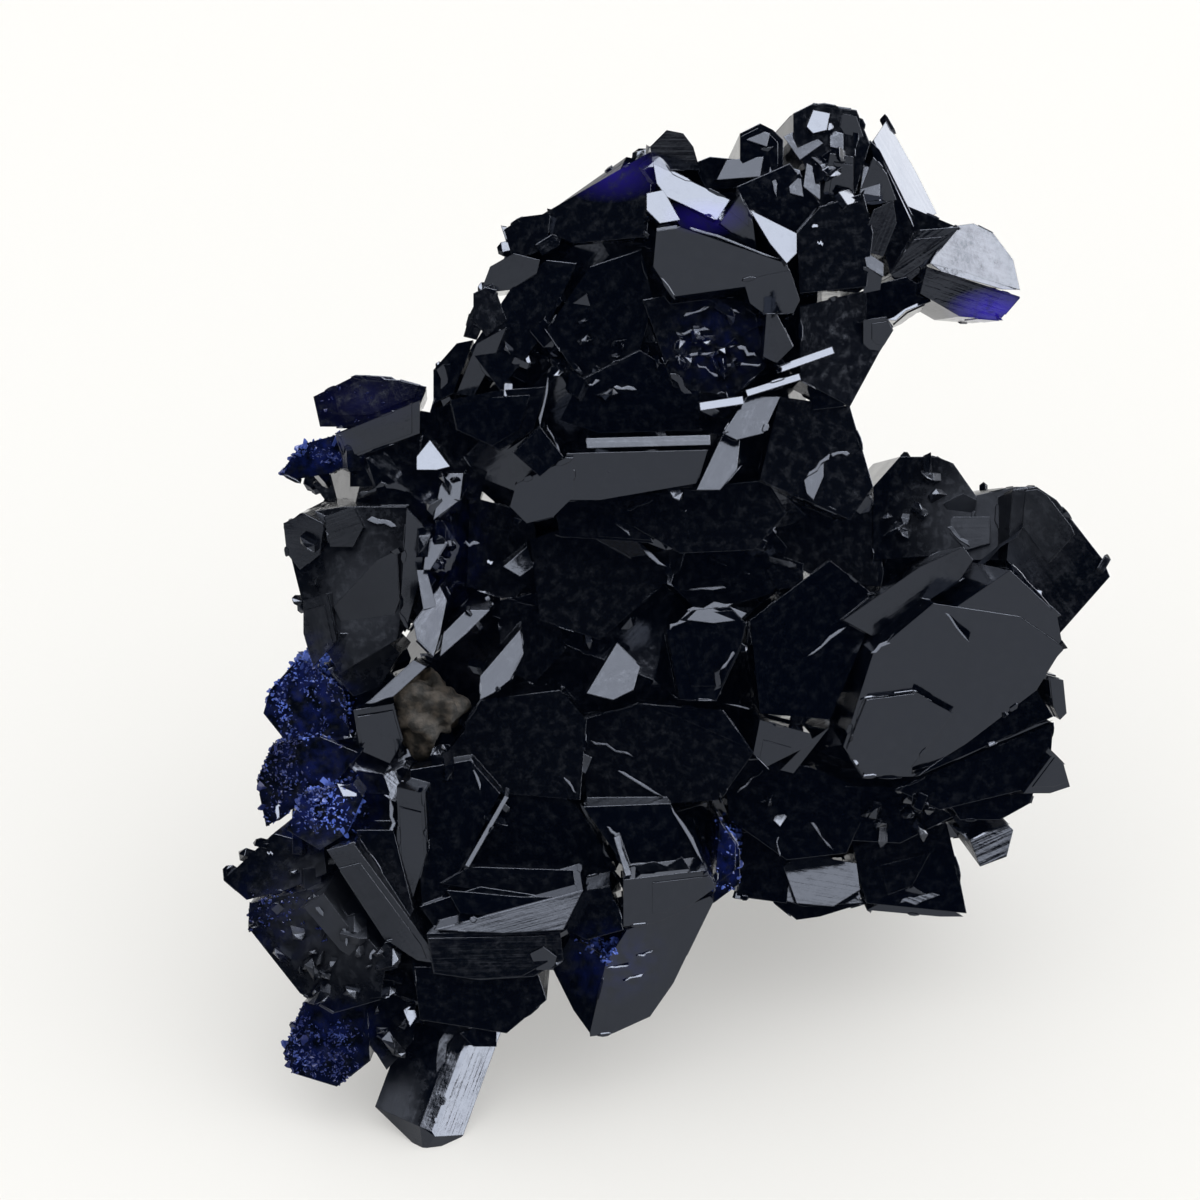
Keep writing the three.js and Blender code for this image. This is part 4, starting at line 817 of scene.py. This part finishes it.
def flake(outline, lean):
    """The face and the root of a flat flake that sits on the cluster. Its face is the outline on a plane
    that leans as asked, clear of the surface at most of its corners; its root is the same outline,
    narrower, as far below the face as the surface lies at its lowest corner and a little more."""
    outline = np.array(outline, float)
    middle = outline.mean(axis=0)
    spokes = outline - middle
    ahead = np.roll(spokes, -1, axis=0)
    if (spokes[:, 0] * ahead[:, 1] - spokes[:, 1] * ahead[:, 0]).sum() < 0.0:
        outline, spokes = outline[::-1], spokes[::-1]
    ground = seat(outline)
    ground = np.where(np.isfinite(ground), ground, ground[np.isfinite(ground)].min())
    tilt = -spokes @ np.array(lean)
    face = tilt + np.quantile(ground - tilt, FLAKE_CLEAR) + FLAKE_LIFT
    root = face - (face - ground).max() - FLAKE_ROOT
    inner = middle + spokes * FLAKE_NARROWING
    return off_sheet(np.column_stack([outline, face])), off_sheet(np.column_stack([inner, root]))


def growth_steps(mesh, rng):
    """Pairs of rings for the growth steps of the larger facets. A step is the facet's own outline drawn
    in toward a point inside it, p = c + k (q - c), raised by its height and tilted a little, with its
    root below the facet. A facet that isn't convex gets none."""
    vertex, start, total, points, normals, areas = facet_arrays(mesh)
    mirrored = 2.0 * (normals @ TOWARD)[:, None] * normals - TOWARD
    lit = (mirrored[:, 2] > STEP_MIRROR) | (mirrored[:, 0] > STEP_MIRROR)
    lowest = np.minimum.reduceat(points[vertex, 2], start)
    large = areas > STEP_LEAST_AREA
    chosen = large & (rng.random(len(areas)) < STEP_CHANCE) & ~lit & (lowest > STEP_FLOOR)
    pairs = []
    for index in np.flatnonzero(chosen):
        corner = points[vertex[start[index] : start[index] + total[index]]]
        normal, middle = normals[index], corner.mean(axis=0)
        spokes = corner - middle
        turn = np.cross(spokes, np.roll(spokes, -1, axis=0)) @ normal
        side = np.roll(corner, -1, axis=0) - corner
        bend = np.cross(np.roll(side, 1, axis=0), side) @ normal
        keep, share, which = rng.uniform(*STEP_SIZES), rng.uniform(*STEP_CORNER), rng.integers(total[index])
        slope, height = rng.normal(size=3) * STEP_TILT, rng.uniform(*STEP_HEIGHTS)
        if turn.min() <= 0.0 or bend.min() < 0.0:
            continue
        inner = middle + share * spokes[which]
        drawn = inner + keep * (corner - inner)
        rise = (drawn - drawn.mean(axis=0)) @ (slope - normal * (slope @ normal))
        rise = rise - rise.min() + height
        pairs.append((drawn + rise[:, None] * normal, drawn - STEP_ROOT * normal))
    return pairs


def edge_plates(mesh, rng):
    """Pairs of rings for small plates along the longer edges of the facets. A plate lies on its facet and
    reaches a little over the edge: its corners stand round a place on the edge, at uneven angles, its
    length along the edge and its breadth across it, and its root is sunk into the blade."""
    vertex, start, total, points, normals, areas = facet_arrays(mesh)
    owner, following, edge, length = facet_edges(vertex, start, total, points)
    lower = np.minimum(points[vertex, 2], points[vertex[following], 2])
    large = (length > PLATE_LEAST_EDGE) * (areas[owner] > PLATE_LEAST_AREA)
    chance = length * large * (lower > STEP_FLOOR)
    picked = rng.choice(len(length), size=PLATE_COUNT, p=chance / chance.sum())
    along, normal = edge[picked] / length[picked][:, None], normals[owner[picked]]
    inward = np.cross(normal, along)
    middle = points[vertex[picked]] + rng.uniform(*PLATE_PLACES, (PLATE_COUNT, 1)) * edge[picked]
    stray = rng.uniform(-PLATE_UNEVEN, PLATE_UNEVEN, (PLATE_COUNT, PLATE_CORNERS))
    turn = 2.0 * math.pi / PLATE_CORNERS * (np.arange(PLATE_CORNERS) + stray)
    aside = np.cos(turn) * rng.uniform(*PLATE_LENGTHS, (PLATE_COUNT, 1))
    across = np.sin(turn) * rng.uniform(*PLATE_BREADTHS, (PLATE_COUNT, 1))
    spread = aside[..., None] * along[:, None] + across[..., None] * inward[:, None]
    raised = middle + rng.uniform(*PLATE_HEIGHTS, (PLATE_COUNT, 1)) * normal
    sunk = middle - PLATE_ROOT * (normal - inward)
    return zip(raised[:, None] + spread, sunk[:, None] + PLATE_NARROWING * spread)


def plates(pairs):
    """Points and faces of closed plates, each from two rings of corners, those of its face and of its
    root."""
    points, faces, count = [], [], 0
    for face, root in pairs:
        step = np.arange(len(face))
        following = (step + 1) % len(face)
        walls = np.stack([step, step + len(face), following + len(face), following], axis=-1) + count
        points += [face, root]
        faces += [(step + count).tolist(), *walls.tolist(), (step[::-1] + len(face) + count).tolist()]
        count += 2 * len(face)
    return np.concatenate(points), faces


def lumpy_stone(low, high, settings):
    """An oval that fills a box, over angles around and down: its radius swells and sinks by sums of sines
    of the place on it, so that it is lumpy all over. The poles are single points."""
    low, high = np.array(low), np.array(high)
    middle, half = (low + high) / 2.0, (high - low) / 2.0
    around, down = np.meshgrid(
        np.linspace(0, 2 * math.pi, STONE_AROUND, endpoint=False),
        np.linspace(0, math.pi, STONE_RINGS + 2)[1:-1],
        indexing="ij",
    )
    sphere = np.stack([np.sin(down) * np.cos(around), np.sin(down) * np.sin(around), np.cos(down)], axis=-1)
    sphere = np.concatenate([sphere.transpose(1, 0, 2).reshape(-1, 3), [[0, 0, 1.0], [0, 0, -1.0]]])
    rng = np.random.default_rng(settings.seed + 3)
    waves = rng.normal(size=(len(STONE_WAVES), 3)) * STONE_WAVES[:, None]
    sines = np.sin(sphere @ waves.T + rng.uniform(0, STONE_TURN, len(STONE_WAVES)))
    swell = (sines / STONE_WAVES).sum(1)
    points = middle + half * STONE_FILL * sphere * (1.0 + STONE_SWELL * swell)[:, None]
    ring, step = np.meshgrid(np.arange(STONE_RINGS - 1), np.arange(STONE_AROUND), indexing="ij")
    following = (step + 1) % STONE_AROUND
    upper, lower = ring * STONE_AROUND, (ring + 1) * STONE_AROUND
    quads = np.stack([upper + step, lower + step, lower + following, upper + following], axis=-1)
    first, ahead = step[0], following[0]
    last, pole = (STONE_RINGS - 1) * STONE_AROUND, np.full(STONE_AROUND, STONE_RINGS * STONE_AROUND)
    top = np.stack([pole, first, ahead], axis=-1)
    bottom = np.stack([pole + 1, last + ahead, last + first], axis=-1)
    return points, quads.reshape(-1, 4).tolist() + top.tolist() + bottom.tolist()


# The stage


def card_floor(settings):
    """A flat square card: a grid of even cells."""
    corners = FLOOR_CELLS + 1
    span = np.linspace(-FLOOR_HALF, FLOOR_HALF, corners)
    x, y = np.meshgrid(span, span, indexing="ij")
    points = np.stack([x, y, np.zeros_like(x)], axis=-1)
    row, column = np.meshgrid(np.arange(FLOOR_CELLS), np.arange(FLOOR_CELLS), indexing="ij")
    first = row * corners + column
    faces = np.stack([first, first + corners, first + corners + 1, first + 1], axis=-1).reshape(-1, 4)
    mesh = bpy.data.meshes.new("card_floor")
    mesh.from_pydata(points.reshape(-1, 3), [], faces)
    floor = bpy.data.objects.new("card_floor", mesh)
    bpy.context.scene.collection.objects.link(floor)
    mesh.materials.append(white_paper(settings))


def soft_panel(name, direction, distance, size, radiance):
    """A soft panel that faces the specimen. Its power is pi times its area times its radiance."""
    azimuth, elevation = math.radians(direction[0]), math.radians(direction[1])
    level = math.cos(elevation)
    toward = np.array([math.sin(azimuth) * level, -math.cos(azimuth) * level, math.sin(elevation)])
    lamp = bpy.data.lights.new(name, "AREA")
    lamp.shape = "RECTANGLE"
    lamp.size, lamp.size_y = size
    lamp.energy = math.pi * size[0] * size[1] * radiance
    made = bpy.data.objects.new(name, lamp)
    made.location = SHEET_CENTRE + toward * distance
    made.rotation_euler = Vector(toward).to_track_quat("Z", "Y").to_euler()
    bpy.context.scene.collection.objects.link(made)
    return made


def studio_light():
    """Panels that are only mirrored by the facets. A wide fill overhead, which casts no shadow, and an
    even tent all round light the card and the crusts and aren't mirrored."""
    for values in MIRRORED_PANELS:
        soft_panel(*values).visible_diffuse = False
    fill = soft_panel(*FILL_PANEL)
    fill.visible_glossy = False
    fill.data.use_shadow = False
    fill.data.cycles.use_multiple_importance_sampling = False
    world = bpy.data.worlds.new("light_tent")
    world.use_nodes = True
    tent = world.node_tree.nodes["Background"]
    tent.inputs["Color"].default_value = linear("#ffffff")
    tent.inputs["Strength"].default_value = TENT_STRENGTH
    world.cycles_visibility.glossy = False
    bpy.context.scene.world = world
    bpy.context.scene.view_settings.view_transform = "Standard"


def viewer_camera():
    """The viewer's camera: square to the sheet's middle, with a lens that shows the sheet's width."""
    camera = bpy.data.objects.new("camera", bpy.data.cameras.new("camera"))
    camera.data.sensor_width = SENSOR_WIDTH
    camera.data.lens = SENSOR_WIDTH * VIEW_DISTANCE / SHEET_WIDTH
    camera.data.clip_start = CLIP_START
    camera.location = SHEET_CENTRE + TOWARD * VIEW_DISTANCE
    camera.rotation_euler = SHEET_TURN
    bpy.context.scene.collection.objects.link(camera)
    bpy.context.scene.camera = camera


# Settings


def colour_setting(name, description, colour):
    """A colour that a user may change, from an sRGB hex value."""
    return FloatVectorProperty(
        name=name, description=description, subtype="COLOR", size=3, default=linear(colour)[:3]
    )


def length_setting(name, description, length):
    """A length that a user may change, in metres."""
    return FloatProperty(
        name=name, description=description, subtype="DISTANCE", unit="LENGTH", default=length
    )


def strength_setting(name, description, strength):
    """A strength from 0 to 1 that a user may change."""
    return FloatProperty(name=name, description=description, default=strength, min=0.0, max=1.0)


class SpecimenSettings(PropertyGroup):
    """Sizes and colours of the specimen that a user may change."""

    blade_colour: colour_setting("Blade colour", "Body colour of the thick blades", "#03060f")
    # The thin colour is painted light: a violet glow that stands in for light passing through thin blades.
    painted_glow_colour: colour_setting("Thin colour", "Colour where a blade is thin", "#2c1f96")
    crust_dark: colour_setting("Crust stain", "Stain of the crusts and their darkest crystals", "#0f184a")
    crust_bright: colour_setting("Crust colour", "Brightest crystals of the crusts", "#5a74cf")
    limonite_colour: colour_setting("Limonite colour", "Ochre of the limonite", "#4c443b")
    paper_colour: colour_setting("Paper colour", "Colour of the card under the specimen", "#e4e3e0")
    edge_radius: length_setting("Edge radius", "How far the edges of the blades are rounded", 0.03 * MM)
    line_strength: strength_setting("Growth lines", "Strength of the lines along the facets", 0.2)
    swell_strength: strength_setting("Facet swell", "Strength of the gentle swell of the facets", 0.25)
    grain_strength: strength_setting("Facet grain", "Strength of the fine unevenness of the facets", 0.2)
    blade_length: length_setting("Small blade length", "Length of the small blades in the hollows", 0.4 * MM)
    crust_length: length_setting("Crust crystal length", "Length of the crystals of the crusts", 0.12 * MM)
    seed: IntProperty(name="Seed", description="Seed of the scattered crystals", default=7, min=0)


# Pieces


class AZURITE_OT_cluster(Operator):
    """Makes the cluster of large blades from the CAD solid"""

    bl_idname = "azurite.cluster"
    bl_label = "Large blades"

    def execute(self, context):
        settings = context.scene.azurite_specimen
        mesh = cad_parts["azurite_crystals"].data.copy()
        mesh.name = "azurite_large_blades"
        shaper = bmesh.new()
        shaper.from_mesh(mesh)
        bmesh.ops.remove_doubles(shaper, verts=shaper.verts, dist=MERGE_DISTANCE)
        bmesh.ops.dissolve_limit(shaper, angle_limit=FLAT_ANGLE, verts=shaper.verts, edges=shaper.edges)
        shaper.to_mesh(mesh)
        shaper.free()
        mesh.polygons.foreach_set("use_smooth", np.zeros(len(mesh.polygons), bool))
        mesh.materials.clear()
        mesh.materials.append(azurite_blades(settings))
        facet_map(mesh)
        tones(mesh, settings)
        made = bpy.data.objects.new("azurite_large_blades", mesh)
        context.scene.collection.objects.link(made)
        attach(made, "root")
        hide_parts("azurite_crystals")
        return {"FINISHED"}


class AZURITE_OT_growth_steps(Operator):
    """Raises the growth steps on the larger facets and the small plates along their edges"""

    bl_idname = "azurite.growth_steps"
    bl_label = "Growth steps"

    def execute(self, context):
        settings = context.scene.azurite_specimen
        rng = np.random.default_rng(settings.seed + 4)
        blades = bpy.data.meshes["azurite_large_blades"]
        points, faces = plates([*growth_steps(blades, rng), *edge_plates(blades, rng)])
        glassy("azurite_growth_steps", points, faces, settings)
        return {"FINISHED"}


class AZURITE_OT_thin_blades(Operator):
    """Sets the thin blades that are seen edge-on and the small flakes on the large blades"""

    bl_idname = "azurite.thin_blades"
    bl_label = "Thin blades"

    def execute(self, context):
        settings = context.scene.azurite_specimen
        rng = np.random.default_rng(settings.seed + 5)
        ridges = [(ridge_outline(*line, rng), lean) for *line, lean in THIN_BLADES]
        points, faces = plates([flake(outline, lean) for outline, lean in [*ridges, *FLAKES]])
        glassy("azurite_thin_blades", points, faces, settings)
        return {"FINISHED"}


class AZURITE_OT_small_blades(Operator):
    """Grows the small blades in the hollows between the large ones"""

    bl_idname = "azurite.small_blades"
    bl_label = "Small blades"

    def execute(self, context):
        settings = context.scene.azurite_specimen
        rng = np.random.default_rng(settings.seed + 1)
        made = [bed_points(bed, count, rng) for *bed, count in BLADE_BEDS]
        made.append(scatter(BACK_BLADES, rng, out_of_sight))
        roots, normals = (np.concatenate(parts) for parts in zip(*made))
        count = len(roots)
        axes = normals + BLADE_SPREAD * rng.normal(size=(count, 3))
        lengths = settings.blade_length * rng.uniform(*BLADE_LENGTHS, count)
        widths = lengths * rng.uniform(*BLADE_WIDTHS, count)
        turns, flatness = rng.uniform(0, math.pi, count), rng.uniform(*BLADE_FLATNESS, count)
        points, faces = crystals(roots, axes, turns, lengths, widths, flatness)
        glassy("azurite_small_blades", points, faces, settings)
        return {"FINISHED"}


class AZURITE_OT_crusts(Operator):
    """Grows the blue crusts of fine crystals"""

    bl_idname = "azurite.crusts"
    bl_label = "Blue crusts"

    def execute(self, context):
        settings = context.scene.azurite_specimen
        rng = np.random.default_rng(settings.seed + 2)
        made = [crust_points(bed, count, shade, rng) for *bed, count, shade in CRUST_BEDS]
        roots, normals, bright = (np.concatenate(parts) for parts in zip(*made))
        count = len(roots)
        axes = normals + CRUST_SPREAD * rng.normal(size=(count, 3))
        smallest, largest = CRUST_SIZES
        sizes = smallest * (largest / smallest) ** rng.random(count)
        widths = CRUST_WIDTH * settings.crust_length * sizes
        lengths = widths * rng.uniform(*CRUST_LENGTHS, count)
        face, rim = CRUST_SPIKES
        spikes = rng.random(count) < np.where(normals @ TOWARD < RIM_FACING, rim, face)
        longer, wider = SPIKE_SIZE
        lengths, widths = lengths * np.where(spikes, longer, 1.0), widths * np.where(spikes, wider, 1.0)
        turns, flatness = rng.uniform(0, math.pi, count), rng.uniform(*CRUST_FLATNESS, count)
        roots = roots - CRUST_ROOT * widths[:, None] * normals
        points, faces = crystals(roots, axes, turns, lengths, widths, flatness)
        piece = mesh_object("azurite_blue_crusts", points, faces, azurite_crust(settings))
        tint = np.clip(bright * rng.uniform(*CRUST_TINTS, count), 0.0, 1.0).astype(np.float32)
        tint = np.repeat(tint, len(piece.data.vertices) // count)
        piece.data.attributes.new("tint", "FLOAT", "POINT").data.foreach_set("value", tint)
        return {"FINISHED"}


class AZURITE_OT_limonite(Operator):
    """Makes the scrap of limonite as a lumpy stone"""

    bl_idname = "azurite.limonite"
    bl_label = "Limonite"

    def execute(self, context):
        settings = context.scene.azurite_specimen
        points, faces = lumpy_stone(*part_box("limonite"), settings)
        made = mesh_object("limonite_scrap", points, faces, limonite_earth(settings))
        made.data.polygons.foreach_set("use_smooth", np.ones(len(made.data.polygons), bool))
        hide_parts("limonite")
        return {"FINISHED"}


class AZURITE_OT_stage(Operator):
    """Sets the card floor, the soft panels and the camera"""

    bl_idname = "azurite.stage"
    bl_label = "Stage"

    def execute(self, context):
        card_floor(context.scene.azurite_specimen)
        studio_light()
        viewer_camera()
        return {"FINISHED"}


class AZURITE_PT_specimen(Panel):
    """Lists the pieces of the specimen and its settings"""

    bl_label = "Azurite specimen"
    bl_space_type = "VIEW_3D"
    bl_region_type = "UI"
    bl_category = "Azurite"

    def draw(self, context):
        for key in SpecimenSettings.__annotations__:
            self.layout.prop(context.scene.azurite_specimen, key)
        for piece in PIECES:
            self.layout.operator(piece.bl_idname)


PIECES = (
    AZURITE_OT_cluster,
    AZURITE_OT_growth_steps,
    AZURITE_OT_thin_blades,
    AZURITE_OT_small_blades,
    AZURITE_OT_crusts,
    AZURITE_OT_limonite,
    AZURITE_OT_stage,
)
CLASSES = (SpecimenSettings, *PIECES, AZURITE_PT_specimen)


def register():
    for made in CLASSES:
        bpy.utils.register_class(made)
    bpy.types.Scene.azurite_specimen = PointerProperty(type=SpecimenSettings)


def unregister():
    del bpy.types.Scene.azurite_specimen
    for made in reversed(CLASSES):
        bpy.utils.unregister_class(made)


def main():
    register()
    bpy.ops.azurite.cluster()
    bpy.ops.azurite.growth_steps()
    bpy.ops.azurite.thin_blades()
    bpy.ops.azurite.small_blades()
    bpy.ops.azurite.crusts()
    bpy.ops.azurite.limonite()
    bpy.ops.azurite.stage()


if __name__ == "__main__":
    main()
